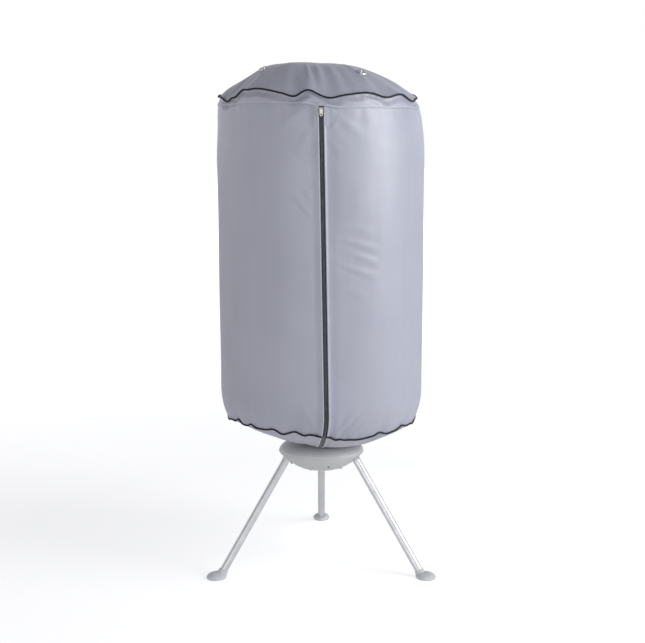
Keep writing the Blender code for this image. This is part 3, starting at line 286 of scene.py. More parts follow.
DOME_SWELL = 5 * MM             # how far the dome's right side bulges, and its left side sinks


def past_hem(azimuth):
    """Azimuth that stays almost still across the zipper, so that a sewn edge is level there."""
    away = turn_from(azimuth)
    return away * (1 - bell(away, 6))


def top_edge(azimuth):
    return TOP_Z + TOP_LIFT + bumps(azimuth, TOP_WANDER)


def seam_edge(azimuth):
    azimuth = past_hem(azimuth)
    wander = SEAM_SHARE * bumps(azimuth, TOP_WANDER)
    return SEAM_Z + SEAM_STEP * step_round_zipper(azimuth) + wander


def bottom_edge(azimuth):
    azimuth = past_hem(azimuth)
    lift = BOTTOM_LIFT + BOTTOM_STEP * step_round_zipper(azimuth)
    return BOTTOM_Z + lift + bumps(azimuth, BOTTOM_WANDER)


def wall_radius(height, top, bottom):
    """Radius of the wall at a height between its two sewn edges."""
    swing = (1 - np.cos(np.pi * part_way(top - height, 0, SHOULDER_HEIGHT))) / 2
    radius = TOP_RING + (WALL_RADIUS - TOP_RING) * swing
    tuck = part_way(bottom + TUCK_HEIGHT - height, 0, TUCK_HEIGHT)
    return radius - (WALL_RADIUS - BOTTOM_RING) * tuck ** TUCK_POWER


def panel_height(share, azimuth):
    """Height of the bottom panel. share is 0 at the collar and 1 at the bottom piping."""
    edge = bottom_edge(azimuth) - BOTTOM_Z
    sag = PANEL_SAG * np.maximum(np.sin(np.pi * share), 0) ** 0.8 * np.sin(np.radians(azimuth))
    return COLLAR_Z + (BOTTOM_Z - COLLAR_Z) * share ** PANEL_POWER + edge * share ** 3 - sag


def wall_lean(height):
    """Sideways offset of the wall: the drum leans a little to the left at its top."""
    part = np.clip((height - LEAN_PIVOT_Z) / (TOP_Z - LEAN_PIVOT_Z), -0.5, 1)
    return WALL_LEAN * part + (EDGE_LEAN - WALL_LEAN) * part_way(height, LEAN_BEND_Z, TOP_Z) ** 2


def side_taper(azimuth, height):
    """Radius lost where the drum narrows towards the seam. The front stays full for the zipper."""
    top = top_edge(azimuth)
    seam = seam_edge(azimuth)
    climb = smooth((height - TAPER_START_Z) / (SEAM_Z - TAPER_START_Z)) ** 1.3
    above_seam = part_way(height, seam, top)
    beside = 1 - bell(turn_from(azimuth), 20)
    return -SIDE_TAPER * climb * (1 - 0.9 * above_seam ** 1.5) * beside


def drum_radius(azimuth, height):
    """Radius of the wall or the band at a height between the two pipings."""
    radius = wall_radius(height, top_edge(azimuth), bottom_edge(azimuth))
    return radius + side_taper(azimuth, height)


def zip_line(height):
    """Sideways place of the zipper's centre line on the wall."""
    share = part_way(height, BOTTOM_Z, ZIP_BEND_Z)
    lower = ZIP_PIPING_X + (ZIP_BEND_X - ZIP_PIPING_X) * np.sin(share * np.pi / 2)
    return np.where(height > ZIP_BEND_Z, ZIP_LEAN * (SEAM_Z - height), lower)


def panel_zip_line(radius):
    """Sideways place of the zipper's centre line under the bottom panel."""
    return ZIP_END_X + (ZIP_PIPING_X - ZIP_END_X) * part_way(radius, ZIP_END_RADIUS, BOTTOM_RING)


def zip_turn(shift, radius, u):
    """Degrees by which the zipper, shifted sideways, turns the cloth at a distance u from it."""
    return np.degrees(shift / radius) * bell(u, ZIP_SHIFT_REACH)


def panel_radius(share):
    """Radius of the bottom panel. share is 0 at the collar and 1 at the bottom piping."""
    return COLLAR_RING + (BOTTOM_RING - COLLAR_RING) * share


def arc_azimuth(u, radius):
    """Azimuth of the cloth at a distance u from the zipper. The hem keeps its width at any radius."""
    hem = np.minimum(np.abs(u), HEM_REACH)
    rest = np.abs(u) - hem
    scale = (np.pi * radius - HEM_REACH) / (np.pi * WALL_RADIUS - HEM_REACH)
    return np.degrees(np.sign(u) * (hem + rest * scale) / radius)


def polar(azimuth, radius, height, offset=0.0):
    """Points at azimuths and radii round the mast's axis, as an array with xyz last."""
    azimuth, radius, height, offset = np.broadcast_arrays(np.radians(azimuth), radius, height, offset)
    x = AXIS.x + radius * np.sin(azimuth) + offset
    y = AXIS.y - radius * np.cos(azimuth)
    return np.stack([x, y, height], axis=-1)


def raised(azimuth, radius, height, lean, relief):
    """Points of a turned surface whose rows run down its profile, pushed out by a relief."""
    points = polar(azimuth, radius, height, lean)
    azimuth, radius, height = np.broadcast_arrays(np.radians(azimuth), radius, height)
    out = -np.gradient(height, axis=0)
    up = np.gradient(radius, axis=0)
    length = np.maximum(np.hypot(out, up), 1e-9)
    normals = np.stack([
        out / length * np.sin(azimuth), -out / length * np.cos(azimuth), up / length], axis=-1)
    return points + normals * relief[..., None]


# ---------------------------------------------------------------- folds and puckers

def ridge(across, width):
    """Soft fold profile: a crest with a shallow trough on either side."""
    part = across / width
    return np.exp(-part ** 2) - 0.35 * np.exp(-((np.abs(part) - 1.9) / 1.1) ** 2)


def crease(across, width):
    """Creased fold profile: two flat faces that meet at a narrow crest."""
    part = np.sqrt((across / width) ** 2 + 0.004)
    return np.maximum(1 - part, 0) + 0.12 * np.exp(-(part - 1) ** 2 * 12)


def fold(u, v, start, stop, width, height):
    """A fold from start to stop, points (u, v) in metres of cloth, that fades at both ends."""
    start = np.array(start)
    run = np.array(stop) - start
    length = np.linalg.norm(run)
    run = run / length
    along = (u - start[0]) * run[0] + (v - start[1]) * run[1]
    across = (v - start[1]) * run[0] - (u - start[0]) * run[1]
    part = np.clip(along / length, -0.3, 1.3)
    fade = np.clip(np.sin(np.pi * np.clip((part + 0.15) / 1.3, 0, 1)), 0, 1) ** 0.8
    swell = width * (0.75 + 0.5 * np.clip(part, 0, 1))
    return height * MM * fade * ridge(across, swell)


def puckers(along, distance, seed, spacing, reach, depth, girth=GIRTH):
    """Gathers beside a sewn edge: narrow dents that run away from the stitching."""
    distance = np.maximum(distance, 0)
    rng = np.random.RandomState(seed)
    total = np.zeros(np.broadcast(along, distance).shape)
    place = 0.0
    while place < girth:
        place += spacing * rng.uniform(0.45, 1.55)
        strength = depth * rng.uniform(0.2, 1.0) ** 1.3
        length = reach * rng.uniform(0.4, 1.6)
        width = spacing * rng.uniform(0.10, 0.24)
        slant = rng.uniform(-0.6, 0.6)
        away = (along - place - slant * distance + girth / 2) % girth - girth / 2
        widen = width * (1 + 1.4 * distance / length)
        total -= strength * bell(away, widen) * np.exp(-(distance / length) ** 1.5)
    return total * smooth(distance / (5 * MM))


def undulation(u, v, seed, count, wavelength, girth=GIRTH):
    """Smooth random swell that closes round the girth. Most of it lies between -1 and 1."""
    rng = np.random.RandomState(seed)
    total = np.zeros(np.broadcast(u, v).shape)
    for _ in range(count):
        cycles = round(girth / (wavelength * rng.uniform(0.7, 1.8)))
        climb = TAU / (wavelength * rng.uniform(1.0, 3.5)) * rng.choice([-1, 1])
        phase = rng.uniform(0, TAU)
        total += np.cos(TAU * cycles * u / girth + climb * v + phase)
    return total / math.sqrt(count)


# ---------------------------------------------------------------- materials

WAVE_SCALE = math.pi / 10       # scale of a wave texture whose ripples are 1 m apart


class Graph:
    """A node tree and short calls that add nodes to it."""

    def __init__(self, tree):
        self.tree = tree

    def feed(self, value, socket):
        """Link a node's output to a socket, or set the socket to a plain value."""
        if isinstance(value, bpy.types.NodeSocket):
            self.tree.links.new(value, socket)
        else:
            socket.default_value = value

    def node(self, kind, inputs=None, **settings):
        made = self.tree.nodes.new(kind)
        for key, value in settings.items():
            setattr(made, key, value)
        for key, value in (inputs or {}).items():
            self.feed(value, made.inputs[key])
        return made

    def span(self, value, low, high, to_low=0.0, to_high=1.0):
        """Map a value's range on to another, without going past its ends."""
        inputs = {"Value": value, "From Min": low, "From Max": high}
        inputs.update({"To Min": to_low, "To Max": to_high})
        return self.node("ShaderNodeMapRange", inputs).outputs["Result"]

    def mixed(self, factor, first, second):
        """Blend two colours, each a node's output or plain red, green and blue."""
        made = self.node("ShaderNodeMix", data_type="RGBA")
        self.feed(factor, made.inputs[0])
        for value, socket in ((first, made.inputs[6]), (second, made.inputs[7])):
            self.feed(value if isinstance(value, bpy.types.NodeSocket) else (*value, 1), socket)
        return made.outputs[2]

    def maths(self, operation, first, second):
        return self.node("ShaderNodeMath", {0: first, 1: second}, operation=operation).outputs[0]


class Shader(Graph):
    """A material on a Principled BSDF."""

    def __init__(self, name, colour, roughness, metallic=0.0, **sockets):
        self.material = bpy.data.materials.new(name)
        self.material.use_nodes = True
        super().__init__(self.material.node_tree)
        self.shader = self.tree.nodes["Principled BSDF"]
        self.shader.inputs["Base Color"].default_value = (*colour, 1)
        self.shader.inputs["Roughness"].default_value = roughness
        self.shader.inputs["Metallic"].default_value = metallic
        for socket, value in sockets.items():
            self.shader.inputs[socket.replace("_", " ")].default_value = value

    def place(self, stretch=(1, 1, 1), uv=False):
        """Texture coordinates in metres, from the object's own space or from the cloth's UV."""
        if uv:
            source = self.node("ShaderNodeUVMap", uv_map="cloth").outputs["UV"]
        else:
            source = self.node("ShaderNodeTexCoord").outputs["Object"]
        return self.node("ShaderNodeMapping", {"Vector": source, "Scale": stretch}).outputs["Vector"]

    def noise(self, place, scale, detail=3.0, roughness=0.5):
        inputs = {"Vector": place, "Scale": scale, "Detail": detail, "Roughness": roughness}
        return self.node("ShaderNodeTexNoise", inputs).outputs["Fac"]

    def wave(self, place, pitch, distortion, direction, **inputs):
        """Ripples a pitch apart, in metres."""
        inputs.update({"Vector": place, "Scale": WAVE_SCALE / pitch, "Distortion": distortion})
        return self.node("ShaderNodeTexWave", inputs, bands_direction=direction).outputs["Fac"]

    def cells(self, place, scale):
        return self.node("ShaderNodeTexVoronoi", {"Vector": place, "Scale": scale}).outputs["Distance"]

    def colour(self, socket):
        self.feed(socket, self.shader.inputs["Base Color"])

    def rough(self, socket):
        self.feed(socket, self.shader.inputs["Roughness"])

    def patches(self, noise, low=0.0, high=1.0):
        """Stretch the middle of a noise over a range of values."""
        return self.span(noise, 0.3, 0.7, low, high)

    def mottle(self, place, scale, first, second):
        """Colour in soft patches of two shades."""
        self.colour(self.mixed(self.patches(self.noise(place, scale)), first, second))

    def gloss(self, place, scale, low, high):
        """Roughness that wanders between two values."""
        self.rough(self.patches(self.noise(place, scale), low, high))

    def bumped(self, *layers):
        """The material, with bump layers stacked on it: (height socket, strength, metres)."""
        normal = None
        for height, strength, distance in layers:
            inputs = {"Height": height, "Strength": strength, "Distance": distance}
            if normal is not None:
                inputs["Normal"] = normal
            normal = self.node("ShaderNodeBump", inputs).outputs["Normal"]
        self.feed(normal, self.shader.inputs["Normal"])
        return self.material


def toned(colour, factor):
    return tuple(min(part * factor, 1.0) for part in colour)


def cover_cloth():
    """Satin-faced polyester with a fine weave, crumple marks and a faint uneven tone."""
    s = Shader("cover_cloth", (0.33, 0.335, 0.39), 0.38, Sheen_Weight=0.08, Sheen_Roughness=0.4,
               Sheen_Tint=(0.80, 0.82, 0.95, 1), Specular_IOR_Level=0.75)
    cloth = s.place(uv=True)
    tone = s.patches(s.noise(cloth, 5.0))
    shade = s.mixed(tone, (0.335, 0.341, 0.403), (0.370, 0.376, 0.440))
    streak = s.noise(s.place((60, 3, 1), uv=True), 1.0)
    s.colour(s.mixed(s.span(streak, 0.35, 0.65, 0.0, 0.25), shade, (0.39, 0.396, 0.458)))
    s.rough(s.patches(s.noise(cloth, 40.0, 2.0), 0.38, 0.47))
    soft = s.noise(s.place((9, 4, 1), uv=True), 1.0, 2.0)
    crumple = s.noise(cloth, 28.0, 4.0, 0.6)
    threads = [s.wave(cloth, 0.0007, 0.3, direction, Detail=1.0) for direction in "XY"]
    weave = s.maths("MAXIMUM", *threads)
    return s.bumped((soft, 0.5, 0.006), (crumple, 0.25, 0.0012), (weave, 0.12, 0.00008))


def piping_cloth():
    """Black bias binding with a fuzzy face."""
    s = Shader("piping_cloth", (0.008, 0.009, 0.014), 0.70, Sheen_Weight=0.05, Sheen_Roughness=0.5,
               Specular_IOR_Level=0.3)
    place = s.place()
    fuzz = s.noise(place, 700.0, 2.0)
    s.mottle(place, 60.0, (0.005, 0.006, 0.010), (0.014, 0.015, 0.022))
    s.rough(s.patches(fuzz, 0.62, 0.80))
    return s.bumped((fuzz, 0.35, 0.0002), (s.noise(place, 160.0), 0.3, 0.0005))


def zip_tape_cloth():
    """Charcoal herringbone tape."""
    s = Shader("zip_tape", (0.035, 0.036, 0.046), 0.66, Sheen_Weight=0.3, Sheen_Roughness=0.5)
    place = s.place(uv=True)
    rib = s.wave(place, 0.0011, 0.6, "DIAGONAL")
    s.colour(s.mixed(rib, (0.010, 0.011, 0.016), (0.026, 0.027, 0.036)))
    s.gloss(place, 500.0, 0.6, 0.75)
    return s.bumped((rib, 0.4, 0.00015), (s.noise(place, 300.0), 0.3, 0.0002))


def tooth_nylon():
    """Dark nylon with fine moulding marks."""
    s = Shader("zip_tooth", (0.085, 0.088, 0.105), 0.38)
    place = s.place()
    s.mottle(place, 90.0, (0.10, 0.103, 0.125), (0.19, 0.195, 0.225))
    s.gloss(place, 400.0, 0.3, 0.5)
    return s.bumped((s.noise(place, 900.0), 0.2, 0.0001))


def thread(name, colour):
    """Twisted sewing thread."""
    s = Shader(name, colour, 0.5, Sheen_Weight=0.3)
    place = s.place()
    twist = s.wave(place, 0.0005, 0.2, "DIAGONAL")
    s.colour(s.mixed(twist, toned(colour, 0.72), colour))
    s.gloss(place, 800.0, 0.4, 0.6)
    return s.bumped((twist, 0.4, 0.0001))


def moulded_plastic(name, colour, roughness, grain=1.0, tone=0.06):
    """Injection-moulded plastic: fine spark-eroded grain, slow tone shifts and handling marks."""
    s = Shader(name, colour, roughness, Specular_IOR_Level=0.45)
    place = s.place()
    shift = s.patches(s.noise(place, 9.0))
    base = s.mixed(shift, toned(colour, 1 - tone), toned(colour, 1 + tone))
    scuff = s.noise(s.place((30, 30, 220)), 1.0, 4.0, 0.65)
    s.colour(s.mixed(s.span(scuff, 0.62, 0.78, 0.0, 0.35), base, toned(colour, 0.8)))
    s.rough(s.patches(s.noise(place, 35.0, 4.0, 0.6), roughness - 0.07, roughness + 0.09))
    fine = s.noise(place, 900.0, 2.0)
    return s.bumped((fine, 0.12 * grain, 0.0002), (s.noise(place, 22.0, 2.0), 0.15, 0.0006))


def drawn_steel(name, colour, roughness):
    """Plated tube: light smudges, a slow change of tone and tiny pits."""
    s = Shader(name, colour, roughness, metallic=1.0)
    place = s.place()
    tone = s.patches(s.noise(place, 26.0, 4.0, 0.6))
    s.colour(s.mixed(tone, toned(colour, 0.86), colour))
    smudge = s.noise(place, 55.0, 4.0, 0.65)
    s.rough(s.span(smudge, 0.35, 0.75, roughness, roughness + 0.16))
    pits = s.noise(place, 380.0, 2.0)
    return s.bumped((pits, 0.06, 0.0001), (s.noise(place, 60.0, 2.0), 0.05, 0.0003))


def foot_rubber():
    """Matt grey moulded rubber with dust in its grain."""
    s = Shader("foot_rubber", (0.58, 0.59, 0.60), 0.72)
    place = s.place()
    dust = s.span(s.noise(place, 45.0, 5.0, 0.65), 0.45, 0.75)
    s.colour(s.mixed(dust, (0.55, 0.56, 0.57), (0.66, 0.66, 0.65)))
    s.gloss(place, 120.0, 0.62, 0.82)
    return s.bumped((s.noise(place, 800.0), 0.3, 0.0003), (s.noise(place, 70.0), 0.2, 0.0005))


def foam():
    """Open-cell filter foam, with painted shade darkening the middle of each pore."""
    s = Shader("filter_foam", (0.05, 0.05, 0.055), 0.95)
    cells = s.cells(s.place(), 700.0)
    # Painted shade: each pore is darker at its middle than the struts round it
    s.colour(s.mixed(cells, (0.015, 0.015, 0.018), (0.11, 0.11, 0.12)))
    s.rough(s.span(cells, 0.0, 1.0, 0.85, 1.0))
    return s.bumped((cells, 0.9, 0.0008))


def ceramic():
    """Cream heat-proof moulding with speckles and soft scorch marks."""
    s = Shader("ceramic", (0.74, 0.71, 0.63), 0.55)
    place = s.place()
    speck = s.span(s.noise(place, 420.0, 3.0, 0.7), 0.62, 0.7)
    base = s.mixed(speck, (0.74, 0.71, 0.63), (0.45, 0.40, 0.33))
    s.colour(s.mixed(s.span(s.noise(place, 40.0), 0.5, 0.8), base, (0.55, 0.45, 0.33)))
    s.gloss(place, 90.0, 0.45, 0.7)
    return s.bumped((s.noise(place, 500.0), 0.2, 0.0002))


def corrugated_aluminium():
    """Corrugated heater fin ridges, with painted shade that darkens the colour between their crests.
    """
    s = Shader("heater_aluminium", (0.62, 0.62, 0.63), 0.35, metallic=1.0)
    place = s.place()
    fins_and_painted_shade = s.wave(place, 0.0016, 0.4, "X")
    # Painted shade: the colour darkens between the crests, and the same ridges drive the bump
    s.colour(s.mixed(fins_and_painted_shade, (0.30, 0.30, 0.31), (0.72, 0.72, 0.73)))
    s.gloss(place, 300.0, 0.28, 0.5)
    return s.bumped((fins_and_painted_shade, 0.8, 0.0006))


def bare_copper():
    """Copper with brown patches of tarnish."""
    s = Shader("copper", (0.70, 0.36, 0.20), 0.3, metallic=1.0)
    place = s.place()
    tarnish = s.span(s.noise(place, 120.0, 4.0), 0.35, 0.7)
    s.colour(s.mixed(tarnish, (0.72, 0.38, 0.22), (0.38, 0.20, 0.13)))
    s.gloss(place, 260.0, 0.22, 0.5)
    return s.bumped((s.noise(place, 700.0), 0.15, 0.0001))


def smoked_lens():
    """Smoke-grey lens with a moulded pattern behind its face."""
    s = Shader("lens", (0.06, 0.06, 0.065), 0.14, Coat_Weight=0.6, Coat_Roughness=0.05)
    place = s.place()
    cells = s.cells(place, 900.0)
    s.colour(s.mixed(cells, (0.08, 0.08, 0.088), (0.025, 0.025, 0.030)))
    s.gloss(place, 400.0, 0.1, 0.22)
    return s.bumped((cells, 0.25, 0.0002))


MATERIALS = {
    "housing": moulded_plastic("housing", (0.53, 0.53, 0.535), 0.36),
    "dark_plastic": moulded_plastic("dark_plastic", (0.045, 0.046, 0.050), 0.42, 1.6, 0.15),
    "pale_plastic": moulded_plastic("pale_plastic", (0.55, 0.56, 0.57), 0.42),
    "filter_foam": foam(),
    "motor_metal": drawn_steel("motor_metal", (0.45, 0.45, 0.46), 0.38),
    "bright_steel": drawn_steel("bright_steel", (0.74, 0.742, 0.75), 0.33),
    "screw_steel": drawn_steel("screw_steel", (0.40, 0.40, 0.41), 0.34),
    "ceramic": ceramic(),
    "heater_aluminium": corrugated_aluminium(),
    "copper": bare_copper(),
    "lens": smoked_lens(),
    "foot_rubber": foot_rubber(),
    "cover_cloth": cover_cloth(),
    "piping_cloth": piping_cloth(),
    "zip_tape": zip_tape_cloth(),
    "zip_metal": drawn_steel("zip_metal", (0.70, 0.68, 0.62), 0.22),
    "eyelet_metal": drawn_steel("eyelet_metal", (0.90, 0.89, 0.86), 0.30),
    "zip_tooth": tooth_nylon(),
    "grey_thread": thread("grey_thread", (0.82, 0.83, 0.87)),
    "black_thread": thread("black_thread", (0.03, 0.03, 0.04)),
}


def paint_frame():
    """Give every CAD node the detailed material of its slot in the record."""
    for row in frame["record"]["subparts"]:
        node = frame["nodes"][row["node"]]
        node.data.materials.clear()
        node.data.materials.append(MATERIALS[row["material_slot"]])


# ---------------------------------------------------------------- fabric panels

COLUMNS = 380
WALL_ROWS = 150
BAND_ROWS = 14
HEM_REACH = 17 * MM
TUCKED_UNDER = 4 * MM           # how far the wall runs up behind the band

# Folded hem beside the zipper: (distance from the centre line, height out of the cloth) in mm. It
# runs from the hidden under layer, round the fold and over the stitched upper layer.
HEM = (
    (9.6, -0.45), (7.7, -0.5), (6.4, -0.15), (6.0, 0.7), (6.4, 1.7), (7.4, 2.3), (8.6, 2.0),
    (9.8, 1.2), (11.2, 0.1), (12.8, -0.8), (14.6, -1.2), (16.6, -1.3))

# Folds of the wall: start and stop (distance from the zipper, height), half width, rise in mm
WALL_FOLDS = (
    ((0.045, 0.985), (0.145, 0.960), 0.0070, 2.2),
    ((0.070, 0.946), (0.150, 0.922), 0.0060, 2.4),
    ((0.045, 0.918), (0.140, 0.882), 0.0066, 2.4),
    ((0.052, 0.962), (0.095, 0.950), 0.0040, 0.9),
    ((0.085, 0.905), (0.150, 0.890), 0.0045, 1.0),
    ((0.050, 0.850), (0.120, 0.830), 0.0090, 1.2),
    ((0.060, 1.018), (0.130, 1.006), 0.0080, 1.0),
    ((-0.028, 1.040), (-0.068, 1.100), 0.0070, 1.8),
    ((-0.026, 1.085), (-0.052, 1.125), 0.0060, 1.2),
    ((0.017, 1.266), (0.048, 1.296), 0.0042, 2.6),
    ((-0.017, 1.325), (-0.019, 1.268), 0.0045, 3.0),
    ((0.020, 1.245), (0.048, 1.212), 0.0070, 1.6),
    ((0.030, 1.318), (0.105, 1.262), 0.0110, 1.8),
    ((-0.015, 1.290), (-0.060, 1.210), 0.0100, 1.6),
    ((-0.040, 1.322), (-0.120, 1.275), 0.0120, 1.6),
    ((0.030, 0.452), (0.082, 0.512), 0.0070, 2.6),
    ((0.052, 0.450), (0.108, 0.500), 0.0060, 2.2),
    ((0.082, 0.452), (0.120, 0.486), 0.0060, 1.6),
    ((-0.030, 0.470), (-0.060, 0.525), 0.0080, 1.4))

# Folds of the band above the seam, and of the dome: (x, y) from the axis
BAND_FOLDS = (
    ((-0.030, 1.366), (0.014, 1.337), 0.0045, 5.0),
    ((-0.018, 1.352), (-0.052, 1.340), 0.0060, 2.6),
    ((0.018, 1.352), (0.090, 1.346), 0.0060, 2.6),
    ((-0.130, 1.368), (-0.060, 1.352), 0.0080, 2.0),
    ((0.130, 1.356), (0.185, 1.344), 0.0060, 2.2))
DOME_FOLDS = (
    ((-0.006, -0.120), (-0.010, -0.245), 0.0060, 2.2),
    ((0.020, -0.110), (0.020, -0.240), 0.0075, 2.0),
    ((0.052, -0.120), (0.066, -0.250), 0.0110, 2.4),
    ((0.098, -0.070), (0.150, -0.215), 0.0120, 2.8),
    ((-0.120, -0.080), (-0.165, -0.200), 0.0130, 2.0),
    ((-0.175, -0.050), (-0.235, -0.110), 0.0110, 2.0),
    ((0.120, 0.100), (0.165, 0.190), 0.0120, 2.8),
    ((-0.060, 0.120), (-0.085, 0.240), 0.0120, -2.8),
    ((0.020, 0.140), (0.015, 0.262), 0.0100, 2.6))

# Gathers along the sewn edges: seed, spacing, reach and depth
WALL_TOP_GATHERS = (21, 0.040, 0.024, 2.4 * MM)
WALL_BOTTOM_GATHERS = (22, 0.027, 0.018, 4.4 * MM)
WALL_HEM_GATHERS = (23, 0.040, 0.026, 1.3 * MM)
BAND_TOP_GATHERS = (31, 0.030, 0.014, 3.8 * MM)
BAND_SEAM_GATHERS = (32, 0.050, 0.012, 1.0 * MM)
DOME_GATHERS = (41, 0.032, 0.018, 3.4 * MM)
UNDERSIDE_GATHERS = (51, 0.027, 0.016, 4.0 * MM)
COLLAR_GATHERS = (52, 0.060, 0.050, 6.0 * MM)

# The band's lower edge turned under: how far in and how far up, in mm
TURNED_EDGE = ((0.5, -0.5), (1.8, 0.8), (2.0, 6.0))

# Pulled creases that run to the front of the dome: x at its middle and at its edge, half width, rise
DOME_CREASES = (
    (-0.034, -0.074, 0.070, 9.0),
    (0.070, 0.112, 0.050, 3.0))


def all_folds(u, v, folds):
    total = np.zeros(np.broadcast(u, v).shape)
    for row in folds:
        total += fold(u, v, *row)
    return total


def cloth_uv(u, v):
    """Distances over the cloth in metres, as an array with (u, v) last."""
    return np.stack(np.broadcast_arrays(u, v), axis=-1)


def round_columns():
    """Distances round the cover at even steps, from the zipper back to it."""
    return np.linspace(0, GIRTH, COLUMNS + 1)[:-1]


def slit_columns():
    """Distances from the zipper, round to its other side, and how far each column stands out."""
    hem = np.array(HEM) * MM
    start = hem[-1, 0] + 3 * MM
    open_cloth = np.linspace(start, GIRTH - start, COLUMNS)
    along = np.concatenate([hem[:, 0], open_cloth, GIRTH - hem[::-1, 0]])
    out = np.concatenate([hem[:, 1], np.zeros(COLUMNS), hem[::-1, 1] * 0.7])
    return along, out


def signed(along):
    """Cloth distance from the zipper: positive to its right and negative to its left."""
    return np.where(along > GIRTH / 2, along - GIRTH, along)


def beside_zipper(u):
    """The trough in the cloth along each side of the zipper."""
    return -3.4 * MM * bell(u + 21 * MM, 7.5 * MM) - 1.8 * MM * bell(u - 20 * MM, 9 * MM)


def welt_gathers(u, height, above_bottom):
    """Small gathers along the stitched welt, strongest on its right side."""
    across = bell(np.abs(u) - 10 * MM, 3 * MM)
    side = np.where(u > 0, 1.0, 0.35)
    beat = np.cos(TAU * height / (9.5 * MM) + 2.2 * np.cos(TAU * height / 0.071))
    slow = 0.7 + 0.3 * np.cos(TAU * height / 0.19 + 1.0)
    return 0.8 * MM * across * side * beat * slow * smooth(above_bottom / 0.01)


def wall_points():
    """Grid of the wall, from behind the band's edge down to the bottom piping."""
    along, out = slit_columns()
    u = signed(along)
    azimuth = np.degrees(u / WALL_RADIUS)
    seam = seam_edge(azimuth)
    bottom = bottom_edge(azimuth)
    top = seam + TUCKED_UNDER
    share = np.linspace(0, 1, WALL_ROWS)[:, None]
    height = top + (bottom - top) * share
    radius = drum_radius(azimuth, height)
    turn = arc_azimuth(u, radius) + zip_turn(zip_line(height), radius, u)
    lean = wall_lean(height) * (1 - bell(u, UNMOVED_FRONT))
    below_seam = np.maximum(seam - height, 0)
    above_bottom = height - bottom
    free = beyond(u, HEM_REACH, 30 * MM)
    swell = undulation(along, height, 11, 7, 0.42) * 1.3 * MM
    swell += undulation(along, height, 12, 9, 0.16) * 0.35 * MM
    relief = swell * free * (0.2 + 0.8 * smooth(np.minimum(below_seam, above_bottom) / 0.06))
    relief += beside_zipper(u) * beyond(u, HEM_REACH - 2 * MM, 6 * MM)
    relief += welt_gathers(u, height, above_bottom)
    relief += puckers(along, below_seam, *WALL_TOP_GATHERS) * free
    relief += puckers(along, above_bottom, *WALL_BOTTOM_GATHERS) * free
    relief += puckers(height, np.abs(u) - HEM_REACH, *WALL_HEM_GATHERS, girth=2.0)
    relief += all_folds(u, height, WALL_FOLDS) * beyond(u, 11 * MM, 4 * MM)
    relief -= 2.6 * MM * free * np.exp(-below_seam / (9 * MM))
    relief -= 1.2 * MM * (1 - smooth(share * 25))
    # The right hem lies flatter for the first few centimetres below the seam
    settled = np.where(u > 0, 0.3 + 0.7 * smooth((below_seam - 45 * MM) / (20 * MM)), 1.0)
    hem = out * settled * smooth((seam + 1 * MM - height) / (5 * MM))
    return raised(turn, radius, height, lean, relief + hem), cloth_uv(along, height)


def band_bulge(share, u):
    """How far the band stands off the wall's profile: the seam pulls it in, save at the zipper."""
    pulled = beyond(u, 20 * MM, 40 * MM)
    return -1.9 * MM * np.sin(np.pi * share) + (0.9 - 3.1 * pulled) * MM * share ** 2


def band_points():
    """Grid of the band between the top piping and the flat seam, with its lower edge turned under."""
    along = round_columns()
    u = signed(along)
    azimuth = np.degrees(u / WALL_RADIUS)
    top = top_edge(azimuth)
    low = seam_edge(azimuth)
    share = np.linspace(0, 1, BAND_ROWS)[:, None]
    height = top + (low - top) * share
    relief = puckers(along, top - height, *BAND_TOP_GATHERS)
    relief += puckers(along, height - low, *BAND_SEAM_GATHERS)
    relief += all_folds(u, height, BAND_FOLDS) * smooth((top - height) / (4 * MM))
    relief += band_bulge(share, u)
    lean = wall_lean(height) * (1 - share ** 2 * bell(u, UNMOVED_FRONT))
    points = raised(azimuth, drum_radius(azimuth, height), height, lean, relief)
    inward = polar(azimuth, -1.0, 0.0) - polar(azimuth, 0.0, 0.0)
    up = np.array([0, 0, 1])
    turned = [points[-1] + inward * inset * MM + up * rise * MM for inset, rise in TURNED_EDGE]
    points = np.concatenate([points, turned])
    return points, cloth_uv(along, np.concatenate([height, points[BAND_ROWS:, :, 2]]))


def dome_surface(azimuth, share):
    """The dome without its folds, at a share of the radius of its edge."""
    edge = top_edge(azimuth) - TOP_Z
    swell = DOME_SWELL * np.sin(np.radians(azimuth)) * np.exp(-((share - 0.72) / 0.24) ** 2)
    height = APEX_Z - (APEX_Z - TOP_Z) * share ** DOME_POWER + edge * share ** 5 + swell
    return TOP_RING * share, height, EDGE_LEAN + DOME_LEAN * (1 - share ** 2)


def crown_height(points):
    """Height of the cloth where it lies on the crown disc, falling away beyond the disc's edge."""
    low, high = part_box("crown_disc")
    away = np.hypot(points[..., 0] - AXIS.x, points[..., 1] - AXIS.y)
    past = np.maximum(away - (high.x - low.x) / 2 - 2 * MM, 0)
    drop = (APEX_Z - TOP_Z) * (away / TOP_RING) ** DOME_POWER
    return high.z + 1.4 * MM - drop - 0.3 * past - 4.0 * past ** 2


def dome_points():
    """Grid of the domed top, from its middle to the top piping."""
    along = round_columns()
    azimuth = np.degrees(along / WALL_RADIUS)
    share = np.concatenate([np.linspace(0.0005, 0.8, 44), np.linspace(0.8, 1.0, 26)[1:]])[:, None]
    radius, height, lean = dome_surface(azimuth, share)
    inward = TOP_RING - radius
    x = radius * np.sin(np.radians(azimuth))
    y = -radius * np.cos(np.radians(azimuth))
    relief = puckers(along, inward, *DOME_GATHERS)
    relief += undulation(x + 0.5, y, 42, 8, 0.17, 5.0) * 1.8 * MM * smooth(inward / 0.05)
    relief += all_folds(x, y, DOME_FOLDS) * smooth(inward / 0.02)
    for start_x, stop_x, width, rise in DOME_CREASES:
        line = start_x + (stop_x - start_x) * np.clip(-y / TOP_RING, 0, 1)
        front = smooth((-y - 0.04) / 0.10) * smooth(inward / 0.03)
        relief += rise * MM * crease(x - line, width) * front
    points = raised(azimuth, radius, height, lean, relief)
    points[..., 2] = np.maximum(points[..., 2], crown_height(points))
    return points, cloth_uv(x, y)


